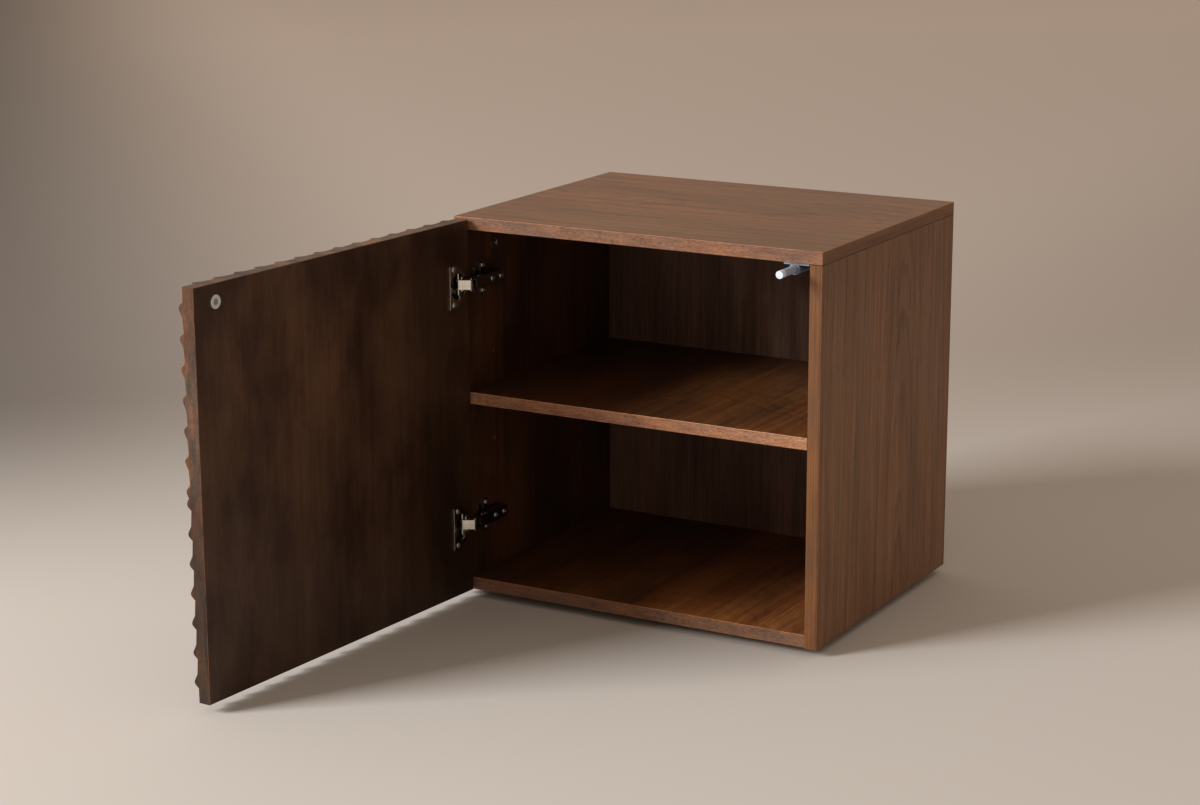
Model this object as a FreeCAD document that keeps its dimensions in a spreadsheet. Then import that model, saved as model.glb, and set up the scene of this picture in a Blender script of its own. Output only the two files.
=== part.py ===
import FreeCAD, Part
import Sketcher
import math
import os
import re

# A low storage table: a carcass of veneered boards with one shelf and a door with carved diamond ridges.
# The door hangs on two concealed hinges and is held open at rest, and a push latch sits under the top.
# Millimetres. The origin is on the floor under the centre of the carcass, +Z is up and the front faces -Y.

V = FreeCAD.Vector
TOUCH = 0.01  # below this, a volume or a distance counts as nothing

DIMENSIONS = {
    # carcass
    "total_width": 508, "total_depth": 395, "carcass_height": 487, "foot_height": 10,
    "board": 16, "arris": 0.5, "bottom_rise": 1,
    "shelf_thickness": 15, "shelf_top": 262, "shelf_setback": 1, "shelf_gap": 0.75,
    "back_thickness": 5, "back_recess": 26, "groove_depth": 6, "back_play": 0.5,
    # shelf pins, two columns of three holes in each side
    "pin_diameter": 5, "pin_hole_depth": 10, "pin_reach": 8, "pin_front": 62.5, "pin_rear": 321,
    "pin_low": 188.5, "pin_pitch": 58, "pin_flat": 2, "notch_width": 5.6, "notch_length": 8.5,
    # joinery
    "cam_diameter": 15, "cam_depth": 12.5, "cam_setback": 69, "cam_reach": 28.5, "cam_slot": 2.4,
    "bolt_diameter": 6, "bolt_hole": 7, "bolt_thread": 11, "bolt_neck": 3, "bolt_head": 5,
    "bolt_head_half": 2,
    "dowel_diameter": 8, "dowel_length": 24, "dowel_step": 32,
    # rods that repeat have flat sides: more where they show, fewer inside the boards
    "shown_sides": 16, "hidden_sides": 8,
    # foot glides
    "glide_diameter": 27, "glide_inset": 44, "glide_recess": 12, "glide_recess_depth": 6,
    # door
    "door_width": 506, "door_height": 483, "door_board": 16, "open_angle": 93.7,
    "door_corner_across": 23.2, "door_corner_out": 4.5, "door_lift": 2,
    "ridge_height": 6, "ridge_step": 24.75, "ridge_first": 10.6, "ridge_count": 14,
    "ridge_rise": 7, "ridge_fall": 5, "ridge_root": 2, "crest_half": 2.2, "crest_drop": 1.1,
    "valley_lift": 1.3,
    # hinges: the places of the pins, from the outer face of the side (across) and the front edge (in)
    "hinge_low": 92, "hinge_high": 404,
    "outer_pin_across": 27.58, "outer_pin_in": 10.566, "inner_pin_across": 29.991, "inner_pin_in": -9.523,
    # and in the door, from its edge (along) and below its inner face (deep)
    "outer_cup_along": 8.5, "outer_cup_deep": 4.2, "inner_cup_along": 13, "inner_cup_deep": 6.5,
    "hinge_pin": 2.2, "long_pin_half": 8.8, "stub_start": 4.2, "stub_end": 13.8, "pin_clearance": 0.1,
    "cup_along": 22.5, "cup_diameter": 35, "cup_depth": 12.2, "cup_wall": 0.8, "flange_half": 18.5,
    "flange_flat": 7.7, "flange_thickness": 1, "ear_along": 32, "ear_half": 22.5, "ear_radius": 5,
    "arm_top": 31.5, "arm_half": 7.6, "arm_wall": 1.3, "arm_foot": 18.8, "arm_rear": 66, "arm_window": 2,
    "arm_step": 2, "arm_under_pin": 3.2, "arm_overrun": 4, "pin_proud": 0.4,
    "arm_eye": 4.6, "cup_eye": 4, "outer_half": 3.5, "root_half": 6, "inner_half": 6, "inner_cheek": 1.6,
    "slot_along": 15.87, "slot_low": 0.45, "slot_high": 1.64, "slot_radius": 1.6, "slot_wall": 0.55,
    "plate_thickness": 2, "plate_front": 17.5, "plate_rear": 62, "plate_half": 9, "plate_nose": 8,
    "plate_screw_in": 37, "plate_screw_half": 16, "wing_half": 22,
    "rail_half": 6, "rail_wall": 1.5, "rail_front": 19, "rail_rear": 60,
    "adjust_screw_in": 39, "fixing_screw_in": 59,
    # screws
    "wood_head": 7.6, "wood_head_height": 1.8, "wood_shank": 3.6, "wood_length": 12,
    "machine_head": 7, "machine_head_height": 1.8, "machine_shank": 4, "machine_length": 6,
    # push latch
    "latch_across": 36, "latch_drop": 7, "latch_length": 75, "latch_diameter": 12, "latch_bore": 10.2,
    "latch_proud": 0.6, "adapter_left": 34, "adapter_right": 1, "adapter_depth": 68, "adapter_thickness": 2,
    "adapter_screw_left": 10.1, "adapter_screw_right": 14, "cradle_diameter": 14, "housing_end": 1,
    "plunger_diameter": 9.2, "plunger_bore": 6.4, "plunger_end": 3, "plunger_inside": 30,
    "plunger_reach": 40, "tip_length": 9, "tip_diameter": 9.4,
    # strike on the door
    "strike_diameter": 16, "strike_thickness": 1.5, "strike_along": 471, "strike_up": 462,
}

doc = FreeCAD.newDocument("side_table")
sheet = doc.addObject("Spreadsheet::Sheet", "Dims")
for row, (alias, number) in enumerate(DIMENSIONS.items(), 1):
    sheet.set("A%d" % row, alias)
    sheet.set("B%d" % row, str(number))
    sheet.setAlias("B%d" % row, alias)
doc.recompute()

# Places that several pieces share, as expressions in the dimensions.
LEFT = "-total_width / 2"
FRONT = "-total_depth / 2"
INNER_HEIGHT = "carcass_height - board"
TOP_UNDERSIDE = "foot_height + carcass_height - board"
BOTTOM_TOP = "bottom_rise + board"
DOOR_X = LEFT + " + door_corner_across"
DOOR_Y = FRONT + " - door_corner_out"
DOOR_Z = "foot_height + door_lift"
REAR_CAM = "total_depth - cam_setback"
BACK_FRONT = "total_depth - back_recess - back_thickness"
CUP_PIN = {
    kind: (
        "(door_corner_across + {0}_cup_along * cos(open_angle) - {0}_cup_deep * sin(open_angle))".format(kind),
        "(-door_corner_out - {0}_cup_along * sin(open_angle) - {0}_cup_deep * cos(open_angle))".format(kind),
    )
    for kind in ("outer", "inner")
}
HINGES = {"upper": "hinge_high", "lower": "hinge_low"}
SIDES = ["left_side_panel", "right_side_panel"]


def ref(text):
    """An expression with each dimension's word made a reference to its cell in the sheet."""
    return re.sub(r"[a-z][a-z_]*", lambda word: "Dims." * (word.group() in DIMENSIONS) + word.group(), text)


def value(text):
    """The number that an expression in the dimensions comes to."""
    result = sheet.evalExpression(ref(text))
    return float(getattr(result, "Value", result))


def place(item, across="0", back="0", up="0", rotation=None):
    """Puts an object at a place given by three expressions."""
    if rotation:
        item.Placement = FreeCAD.Placement(V(), rotation)
    for axis, text in zip("xyz", (across, back, up)):
        item.setExpression("Placement.Base." + axis, ref(text))
    return item


def turn(x, y, z, degrees):
    """A rotation about one axis."""
    return FreeCAD.Rotation(V(x, y, z), degrees)


# ---- sketches and PartDesign features ----

def new_body(name):
    body = doc.addObject("PartDesign::Body", name)
    body.Label = name
    return body


def sketch(body, name, role="XY_Plane", offset="0"):
    """A sketch on one of the body's own origin planes, moved along the plane's normal."""
    plane = next(item for item in body.Origin.OriginFeatures if item.Role == role)
    drawing = body.newObject("Sketcher::SketchObject", name)
    drawing.AttachmentSupport = [(plane, "")]
    drawing.MapMode = "FlatFace"
    drawing.setExpression("AttachmentOffset.Base.z", ref(offset))
    return drawing


def bind(drawing, kind, where, text):
    """A dimension in a sketch, bound to an expression."""
    number = drawing.addConstraint(Sketcher.Constraint(kind, *where, value(text)))
    drawing.setExpression("Constraints[%d]" % number, ref(text))


def pin_point(drawing, item, end, across, up):
    """Fixes a point of a sketch at a place given by two expressions."""
    for kind, axis, text in (("DistanceX", -2, across), ("DistanceY", -1, up)):
        if text == "0":
            drawing.addConstraint(Sketcher.Constraint("PointOnObject", item, end, axis))
        else:
            bind(drawing, kind, (-1, 1, item, end), text)


def rectangle(drawing, left, low, wide, tall):
    """A rectangle from its lower left corner, its width and its height."""
    x, y, w, t = (value(text) for text in (left, low, wide, tall))
    corners = [V(x, y), V(x + w, y), V(x + w, y + t), V(x, y + t)]
    first = drawing.GeometryCount
    for n in range(4):
        drawing.addGeometry(Part.LineSegment(corners[n], corners[(n + 1) % 4]))
    for n in range(4):
        drawing.addConstraint(Sketcher.Constraint("Coincident", first + n, 2, first + (n + 1) % 4, 1))
        drawing.addConstraint(Sketcher.Constraint("Vertical" if n % 2 else "Horizontal", first + n))
    pin_point(drawing, first, 1, left, low)
    bind(drawing, "DistanceX", (first, 1, first, 2), wide)
    bind(drawing, "DistanceY", (first + 1, 1, first + 1, 2), tall)


def circle(drawing, across, up, diameter):
    number = drawing.addGeometry(Part.Circle(V(value(across), value(up)), V(0, 0, 1), value(diameter) / 2))
    pin_point(drawing, number, 3, across, up)
    bind(drawing, "Diameter", (number,), diameter)


def outline(drawing, points):
    """A closed outline of runs between points given as pairs of expressions.

    A third expression makes the run from its point an arc of that radius, which bulges to the right of
    the way that the outline goes, or to the left where the radius is negative.
    """
    corners = [V(value(point[0]), value(point[1])) for point in points]
    radii = [value(point[2]) if len(point) > 2 else 0 for point in points]
    first = drawing.GeometryCount
    count = len(corners)
    for n, radius in enumerate(radii):
        here, there = corners[n], corners[(n + 1) % count]
        if not radius:
            drawing.addGeometry(Part.LineSegment(here, there))
            continue
        chord = there - here
        rise = abs(radius) - math.sqrt(radius ** 2 - chord.Length ** 2 / 4)
        middle = (here + there) / 2 + V(chord.y, -chord.x) * (math.copysign(rise, radius) / chord.Length)
        drawing.addGeometry(Part.Arc(here, middle, there) if radius > 0 else Part.Arc(there, middle, here))
    starts = [2 if radius < 0 else 1 for radius in radii]
    for n, point in enumerate(points):
        after = (n + 1) % count
        meet = (first + n, 3 - starts[n], first + after, starts[after])
        drawing.addConstraint(Sketcher.Constraint("Coincident", *meet))
        pin_point(drawing, first + n, starts[n], point[0], point[1])
        if radii[n]:
            bind(drawing, "Radius", (first + n,), "abs(%s)" % point[2])


def slot(drawing, across, low, high, radius):
    """An upright slot with round ends, from the centre of one end to the centre of the other."""
    x, y, top, r = (value(text) for text in (across, low, high, radius))
    first = drawing.GeometryCount
    side = V(r, 0)
    foot, head = V(x, y), V(x, top)
    drawing.addGeometry(Part.LineSegment(foot + side, head + side))
    drawing.addGeometry(Part.Arc(head + side, head + V(0, r), head - side))
    drawing.addGeometry(Part.LineSegment(head - side, foot - side))
    drawing.addGeometry(Part.Arc(foot - side, foot - V(0, r), foot + side))
    arc_start, arc_end = 1, 2
    for line, arc, line_end, arc_point in (
        (first, first + 1, 2, arc_start), (first + 2, first + 1, 1, arc_end),
        (first + 2, first + 3, 2, arc_start), (first, first + 3, 1, arc_end),
    ):
        drawing.addConstraint(Sketcher.Constraint("Tangent", line, line_end, arc, arc_point))
    pin_point(drawing, first + 3, 3, across, low)
    bind(drawing, "Radius", (first + 3,), radius)
    drawing.addConstraint(Sketcher.Constraint("Vertical", first))
    bind(drawing, "DistanceY", (first + 3, 3, first + 1, 3), "(%s) - (%s)" % (high, low))


def pad(body, drawing, length, both=False, back=False):
    feature = body.newObject("PartDesign::Pad", drawing.Name + "_pad")
    feature.Profile = drawing
    feature.Midplane = both
    feature.Reversed = back
    feature.setExpression("Length", ref(length))
    doc.recompute()
    return feature


def pocket(body, drawing, depth, both=False, back=False):
    """Cuts a sketch into the body. It must take something away, or it points the wrong way."""
    before = body.Shape.Volume
    feature = body.newObject("PartDesign::Pocket", drawing.Name + "_pocket")
    feature.Profile = drawing
    feature.Midplane = both
    feature.Reversed = back
    feature.setExpression("Length", ref(depth))
    doc.recompute()
    if body.Shape.Volume > before - TOUCH:
        raise RuntimeError(drawing.Name + " cuts nothing")
    return feature


def revolve(body, drawing):
    """Turns a sketch on the body's XZ plane once about the body's Z axis."""
    feature = body.newObject("PartDesign::Revolution", drawing.Name + "_turned")
    feature.Profile = drawing
    axis = next(item for item in body.Origin.OriginFeatures if item.Role == "Z_Axis")
    feature.ReferenceAxis = (axis, [""])
    doc.recompute()
    return feature


def ease(body, feature, names=None):
    """Takes the sharp arris off the named edges or faces, or off every edge of a plain board."""
    chamfer = body.newObject("PartDesign::Chamfer", body.Name + "_arris")
    chamfer.Base = (feature, names or ["Edge%d" % (n + 1) for n in range(len(feature.Shape.Edges))])
    chamfer.setExpression("Size", ref("arris"))
    doc.recompute()


# ---- Part primitives, and groups of equal pieces ----

def primitive(kind, name, **sizes):
    item = doc.addObject("Part::" + kind, name)
    for size, text in sizes.items():
        item.setExpression(size, ref(text))
    return item


def rod(name, sides, diameter, length, start="0"):
    """A straight rod along Z with a number of flat sides, from the height of its start."""
    item = primitive("Prism", name, Polygon=sides, Circumradius="(%s) / 2" % diameter, Height=length)
    return place(item, up=start)


def combine(kind, name, *items):
    """A Cut of a base and a tool, or a MultiFuse or Compound of several shapes."""
    result = doc.addObject("Part::" + kind, name)
    if kind in ("Cut", "Common"):
        result.Base, result.Tool = items
    elif kind == "MultiFuse":
        result.Shapes = list(items)
    else:
        result.Links = list(items)
    result.Label = name
    return result


def group(name, settings):
    """Pieces in one shape: each setting is the piece, its place in three expressions and its rotation."""
    links = []
    for number, (item, spot, rotation) in enumerate(settings, 1):
        link = doc.addObject("App::Link", "%s_%d" % (name, number))
        link.LinkedObject = item
        link.LinkTransform = True
        links.append(place(link, *spot, rotation=rotation))
    return combine("Compound", name, *links)


NODES = []


def keep(item):
    """Marks an object as one of the pieces that are written out."""
    NODES.append(item)
    return item


def drill(bores, labels):
    """Cuts a group of bores out of the nodes with these labels."""
    for label in labels:
        number = next(n for n, node in enumerate(NODES) if node.Label == label)
        whole = NODES[number]
        whole.Label = "%s_before_%s" % (label, bores.Label)
        NODES[number] = combine("Cut", label, whole, bores)


def let_in(name, labels, settings, bore=None):
    """Adds a node of pieces, and cuts the room for each of them out of the nodes with these labels."""
    keep(group(name, settings))
    bores = [(bore or item, spot, rotation) for item, spot, rotation in settings]
    drill(group(name + "_bores", bores), labels)


# ---- carcass boards ----

def plain_board(name, wide, tall, thick, plane="XY_Plane"):
    body = new_body(name)
    drawing = sketch(body, name + "_outline", plane)
    rectangle(drawing, "0", "0", wide, tall)
    ease(body, pad(body, drawing, thick))
    return body


def top_board():
    """The top covers both sides. Its underside takes the back panel."""
    body = plain_board("top_board", "total_width", "total_depth", "board")
    groove = sketch(body, "top_groove")
    rectangle(groove, "board - groove_depth", BACK_FRONT, "total_width - 2 * board + 2 * groove_depth",
              "back_thickness")
    pocket(body, groove, "groove_depth", back=True)
    return place(keep(body), LEFT, FRONT, TOP_UNDERSIDE)


def side_panel(name, is_left):
    """A side from the level of the feet's tops to the top board, with the back panel's groove inside."""
    body = plain_board(name, "total_depth", INNER_HEIGHT, "board", "YZ_Plane")
    groove = sketch(body, name + "_groove", "YZ_Plane", "board" if is_left else "0")
    rectangle(groove, BACK_FRONT, BOTTOM_TOP + " - groove_depth", "back_thickness",
              INNER_HEIGHT + " - board - bottom_rise + groove_depth")
    pocket(body, groove, "groove_depth", back=not is_left)
    return place(keep(body), LEFT if is_left else "total_width / 2 - board", FRONT, "foot_height")


def bottom_board():
    """The bottom board stands between the sides."""
    inner_width = "total_width - 2 * board"
    body = plain_board("bottom_board", inner_width, "total_depth", "board")
    groove = sketch(body, "bottom_groove", "XY_Plane", "board")
    rectangle(groove, "0", BACK_FRONT, inner_width, "back_thickness")
    pocket(body, groove, "groove_depth")
    return place(keep(body), LEFT + " + board", FRONT, "foot_height + bottom_rise")


def back_panel():
    """A thin panel in grooves all round."""
    inset = "groove_depth - back_play"
    body = new_body("back_panel")
    drawing = sketch(body, "back_outline", "XZ_Plane")
    rectangle(drawing, "0", "0", "total_width - 2 * board + 2 * (%s)" % inset,
              INNER_HEIGHT + " - board - bottom_rise + 2 * (%s)" % inset)
    pad(body, drawing, "back_thickness", back=True)
    return place(keep(body), LEFT + " + board - (%s)" % inset, FRONT + " + " + BACK_FRONT,
                 "foot_height + %s - (%s)" % (BOTTOM_TOP, inset))


def shelf_board():
    """The shelf has four notches in its underside that drop over the flats of its pins."""
    wide = "total_width - 2 * board - 2 * shelf_gap"
    body = plain_board("shelf_board", wide, BACK_FRONT + " - 2 * shelf_setback", "shelf_thickness")
    notches = sketch(body, "shelf_notches")
    for column in ("pin_front", "pin_rear"):
        low = column + " - shelf_setback - notch_width / 2"
        rectangle(notches, "0", low, "notch_length", "notch_width")
        rectangle(notches, wide + " - notch_length", low, "notch_length", "notch_width")
    pocket(body, notches, "pin_low + pin_pitch + pin_flat - (shelf_top - shelf_thickness)", back=True)
    return place(keep(body), LEFT + " + board + shelf_gap", FRONT + " + shelf_setback",
                 "foot_height + shelf_top - shelf_thickness")


# ---- joinery and small hardware ----

def screw_master(name, head, head_height, shank, length):
    """A screw that stands on the origin, its head up and its shank down."""
    top = rod(name + "_top", "shown_sides", head, head_height)
    stem = rod(name + "_stem", "hidden_sides", shank, length, "-" + length)
    return combine("MultiFuse", name, top, stem)


def cam_locks():
    """Cams that draw the bolts in. Each has a throat for the bolt's head and a slot for a screwdriver."""
    disc = rod("cam_disc", "shown_sides", "cam_diameter", "cam_depth")
    throat = primitive("Box", "cam_throat", Length="cam_diameter", Width="bolt_hole", Height="bolt_hole")
    place(throat, "-bolt_diameter / 2", "-bolt_hole / 2", "board / 2 - bolt_hole / 2 - (board - cam_depth)")
    drive = primitive("Box", "cam_drive", Length="cam_diameter", Width="cam_slot", Height="cam_slot")
    place(drive, "-cam_diameter / 2", "-cam_slot / 2", "cam_depth - cam_slot")
    cam = combine("Cut", "cam", disc, combine("MultiFuse", "cam_cuts", throat, drive))
    settings = []
    height = TOP_UNDERSIDE + " - cam_reach"
    underneath = "foot_height + bottom_rise + cam_depth"
    for along in (FRONT + " + cam_setback", "-(%s) - cam_setback" % FRONT):
        settings += [
            (cam, (LEFT + " + board - cam_depth", along, height), turn(0, 1, 0, 90) * turn(0, 0, 1, 180)),
            (cam, ("total_width / 2 - board + cam_depth", along, height), turn(0, 1, 0, -90)),
            (cam, (LEFT + " + board + cam_reach", along, underneath),
             turn(1, 0, 0, 180) * turn(0, 0, 1, 180)),
            (cam, ("total_width / 2 - board - cam_reach", along, underneath), turn(1, 0, 0, 180)),
        ]
    let_in("cam_locks", SIDES + ["bottom_board"], settings, bore=disc)


def cam_bolts():
    """Bolts with a thread in one board and a head in the other board's cam."""
    thread = rod("bolt_thread_part", "hidden_sides", "bolt_diameter", "bolt_thread")
    collar = rod("bolt_collar", "hidden_sides", "bolt_diameter", "cam_reach / 2", "-cam_reach / 2")
    neck = rod("bolt_neck_part", "hidden_sides", "bolt_neck", "cam_reach", "-cam_reach")
    head = rod("bolt_head_part", "hidden_sides", "bolt_head", "2 * bolt_head_half",
               "-cam_reach - bolt_head_half")
    bolt = combine("MultiFuse", "bolt", thread, collar, neck, head)
    bore = combine("MultiFuse", "bolt_bore", thread,
                   rod("bolt_hole_part", "hidden_sides", "bolt_hole", "cam_reach", "-cam_reach"))
    settings = []
    low = "foot_height + bottom_rise + board / 2"
    for along in (FRONT + " + cam_setback", "-(%s) - cam_setback" % FRONT):
        settings += [
            (bolt, (LEFT + " + board / 2", along, TOP_UNDERSIDE), None),
            (bolt, ("total_width / 2 - board / 2", along, TOP_UNDERSIDE), None),
            (bolt, (LEFT + " + board", along, low), turn(0, 1, 0, -90)),
            (bolt, ("total_width / 2 - board", along, low), turn(0, 1, 0, 90)),
        ]
    let_in("cam_bolts", SIDES + ["top_board", "bottom_board"], settings, bore=bore)


def dowels():
    """Wooden dowels beside the cams, half in each board."""
    dowel = rod("dowel", "hidden_sides", "dowel_diameter", "dowel_length")
    settings = []
    low = "foot_height + bottom_rise + board / 2"
    for along in (FRONT + " + cam_setback + dowel_step", "-(%s) - cam_setback - dowel_step" % FRONT):
        for across, board_edge in ((LEFT + " + board / 2", LEFT + " + board"),
                                   ("total_width / 2 - board / 2", "total_width / 2 - board")):
            settings.append((dowel, (across, along, TOP_UNDERSIDE + " - dowel_length / 2"), None))
            settings.append((dowel, (board_edge + " - dowel_length / 2", along, low), turn(0, 1, 0, 90)))
    let_in("dowels", SIDES + ["top_board", "bottom_board"], settings)


def shelf_pins():
    """Metal pins in the middle one of three holes, each with a flat where the shelf lies on it."""
    hole = rod("pin_hole", "shown_sides", "pin_diameter", "pin_hole_depth", "-pin_hole_depth")
    whole = rod("pin_rod", "shown_sides", "pin_diameter", "pin_hole_depth + pin_reach", "-pin_hole_depth")
    flat = primitive("Box", "pin_flat_cut", Length="pin_diameter", Width="pin_diameter", Height="pin_reach")
    place(flat, "pin_flat", "-pin_diameter / 2", "0")
    pin = combine("Cut", "pin", whole, flat)

    def settings(item, step):
        height = "foot_height + pin_low + %d * pin_pitch" % step
        return [
            (item, (face, FRONT + " + " + column, height), rotation)
            for column in ("pin_front", "pin_rear")
            for face, rotation in ((LEFT + " + board", turn(0, 1, 0, 90) * turn(0, 0, 1, 180)),
                                   ("total_width / 2 - board", turn(0, 1, 0, -90)))
        ]

    keep(group("shelf_pins", settings(pin, 1)))
    drill(group("pin_holes", settings(hole, 0) + settings(hole, 1) + settings(hole, 2)), SIDES)


def foot_glides():
    """Four round glides, each held by a screw that is sunk in its foot."""
    foot = rod("glide_foot", "shown_sides", "glide_diameter", "foot_height + bottom_rise")
    sink = rod("glide_sink", "shown_sides", "glide_recess", "glide_recess_depth")
    glide = combine("Cut", "glide", foot, sink)
    spots = [(sign_x + "(total_width / 2 - glide_inset)", sign_y + "(total_depth / 2 - glide_inset)")
             for sign_x in ("-", "+") for sign_y in ("-", "+")]
    keep(group("foot_glides", [(glide, spot + ("0",), None) for spot in spots]))
    return [spot + ("glide_recess_depth",) for spot in spots]


# ---- concealed hinges ----

def mounting_plate(name, height):
    """A winged plate on the side, with a folded rail that the arm slides on."""
    body = new_body(name)
    base = sketch(body, name + "_base", "YZ_Plane")
    rectangle(base, "plate_front", "-plate_half", "plate_rear - plate_front", "2 * plate_half")
    pad(body, base, "plate_thickness")
    wings = sketch(body, name + "_wings", "YZ_Plane")
    slot(wings, "plate_screw_in", "-plate_screw_half", "plate_screw_half", "wing_half - plate_screw_half")
    pad(body, wings, "plate_thickness")
    nose = sketch(body, name + "_nose", "YZ_Plane")
    rectangle(nose, "plate_front", "-plate_screw_half", "plate_nose", "2 * plate_screw_half")
    pad(body, nose, "plate_thickness")
    rail = sketch(body, name + "_rail", "YZ_Plane")
    rectangle(rail, "rail_front", "-rail_half", "rail_rear - rail_front", "2 * rail_half")
    pad(body, rail, "arm_top - arm_wall - board")
    hollow = sketch(body, name + "_hollow", "XZ_Plane", "-plate_rear")
    rectangle(hollow, "plate_thickness", "-rail_half + rail_wall",
              "arm_top - arm_wall - board - plate_thickness - rail_wall", "2 * (rail_half - rail_wall)")
    pocket(body, hollow, "plate_rear - rail_front", back=True)
    return place(keep(body), LEFT + " + board", FRONT, "foot_height + " + height)


def hinge_arm(name, height):
    """A folded channel over the rail. Its cheeks run forward past the carcass and carry both link pins."""
    body = new_body(name)
    cheeks = sketch(body, name + "_cheeks")
    outline(cheeks, [("arm_top", "arm_rear"), ("arm_foot", "arm_rear"), ("arm_foot", "rail_front + arm_step"),
                     ("outer_pin_across - arm_under_pin", "outer_pin_in - arm_step"),
                     ("inner_pin_across - arm_eye / 2", "inner_pin_in"),
                     ("inner_pin_across + arm_eye / 2", "inner_pin_in"), ("arm_top", "0")])
    pad(body, cheeks, "2 * arm_half", both=True)
    boss = sketch(body, name + "_boss")
    circle(boss, "inner_pin_across", "inner_pin_in", "arm_eye")
    pad(body, boss, "2 * arm_half", both=True)
    inside = sketch(body, name + "_inside")
    front, rear = "inner_pin_in - arm_overrun", "arm_rear + arm_overrun"
    outline(inside, [("arm_foot - arm_overrun", rear), ("arm_foot - arm_overrun", front),
                     ("arm_top + arm_overrun", front), ("arm_top + arm_overrun", "arm_window"),
                     ("arm_top - arm_wall", "arm_window"), ("arm_top - arm_wall", rear)])
    pocket(body, inside, "2 * (arm_half - arm_wall)", both=True)
    return place(keep(body), LEFT, FRONT, "foot_height + " + height)


def link_place(body, kind, height):
    """Puts a link on its arm pin, turned to face its cup pin with the door open."""
    across, out = CUP_PIN[kind]
    place(body, LEFT + " + %s_pin_across" % kind, FRONT + " + %s_pin_in" % kind, "foot_height + " + height,
          turn(0, 0, 1, 0))
    angle = "atan2({1} - {2}_pin_in; {0} - {2}_pin_across)".format(across, out, kind)
    body.setExpression("Placement.Rotation.Angle", ref(angle))
    return body


def link_length(kind):
    across, out = CUP_PIN[kind]
    return "sqrt(({0} - {2}_pin_across)^2 + ({1} - {2}_pin_in)^2)".format(across, out, kind)


def outer_link(name, height):
    """The long link: a bent bar that reaches over the door's edge and down into the cup.

    A link is drawn in its own frame, along the line from its arm pin to its cup pin and square to it.
    """
    body = new_body(name)
    length = link_length("outer")
    eyes = sketch(body, name + "_eyes")
    circle(eyes, "0", "0", "arm_eye")
    circle(eyes, length, "0", "cup_eye")
    pad(body, eyes, "2 * outer_half", both=True)
    neck = sketch(body, name + "_neck")
    outline(neck, [("0", "-2"), ("9", "-0.4"), ("19.6", "5.3", "-3.6"), ("23.4", "0.4"), (length, "-1"),
                   ("26.4", "0.6", "6"), ("19.4", "7.4"), ("6", "1.9"), ("0", "2")])
    pad(body, neck, "2 * outer_half", both=True)
    root = sketch(body, name + "_root")
    circle(root, "0", "0", "arm_eye")
    pad(body, root, "2 * root_half", both=True)
    shoulder = sketch(body, name + "_shoulder")
    outline(shoulder, [("0", "-2"), ("7", "-0.9"), ("7", "2"), ("0", "2")])
    pad(body, shoulder, "2 * root_half", both=True)
    bores = sketch(body, name + "_bores")
    circle(bores, "0", "0", "hinge_pin + pin_clearance")
    circle(bores, length, "0", "hinge_pin + pin_clearance")
    pocket(body, bores, "3 * root_half", both=True)
    return keep(link_place(body, "outer", height))


def inner_link(name, height):
    """The short link: a channel that straddles the long one. Its far eye is a slot that frees the linkage."""
    body = new_body(name)
    root = sketch(body, name + "_root")
    circle(root, "0", "0", "arm_eye")
    pad(body, root, "2 * inner_half", both=True)
    end = sketch(body, name + "_end")
    slot(end, "slot_along", "slot_low", "slot_high", "slot_radius + slot_wall")
    pad(body, end, "2 * inner_half", both=True)
    side = sketch(body, name + "_side")
    outline(side, [("0", "-2"), ("3.4", "-0.4"), ("9", "-0.4"), ("14.5", "-0.9"), ("17", "2", "2.2"),
                   ("15.5", "4"), ("1", "3.7", "3"), ("-1.5", "1.6")])
    pad(body, side, "2 * inner_half", both=True)
    inside = sketch(body, name + "_inside")
    outline(inside, [("-4", "-4"), ("22", "-4"), ("22", "6"), ("14", "2.7"), ("1.4", "2.5"),
                     ("-2.6", "-0.2")])
    pocket(body, inside, "2 * (inner_half - inner_cheek)", both=True)
    bores = sketch(body, name + "_bores")
    circle(bores, "0", "0", "hinge_pin + pin_clearance")
    slot(bores, "slot_along", "slot_low", "slot_high", "slot_radius")
    pocket(body, bores, "3 * inner_half", both=True)
    return keep(link_place(body, "inner", height))


def door_place(item, up="0"):
    """Puts a piece of the door, made with the door's inner face in its XZ plane, at the open door."""
    place(item, DOOR_X, DOOR_Y, "%s + (%s)" % (DOOR_Z, up), turn(0, 0, 1, 1))
    item.setExpression("Placement.Rotation.Angle", ref("-open_angle"))
    return item


def hinge_cup(name, height):
    """A drawn steel cup with a two-eared flange on the door's inner face."""
    body = new_body(name)
    flange = sketch(body, name + "_flange", "XZ_Plane")
    upper_half = [("cup_along - flange_half", "flange_flat"), ("cup_along - flange_flat", "flange_half"),
                  ("ear_along - ear_radius", "ear_half + ear_radius"),
                  ("ear_along + ear_radius", "ear_half + ear_radius"),
                  ("cup_along + flange_half", "flange_flat")]
    outline(flange, upper_half + [(along, "-(%s)" % up) for along, up in reversed(upper_half)])
    pad(body, flange, "flange_thickness", back=True)
    bowl = sketch(body, name + "_bowl", "XZ_Plane")
    circle(bowl, "cup_along", "0", "cup_diameter")
    pad(body, bowl, "cup_depth")
    hollow = sketch(body, name + "_hollow", "XZ_Plane", "-flange_thickness")
    circle(hollow, "cup_along", "0", "cup_diameter - 2 * cup_wall")
    pocket(body, hollow, "cup_depth + flange_thickness - cup_wall", back=True)
    return keep(door_place(body, "%s - door_lift" % height))


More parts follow.
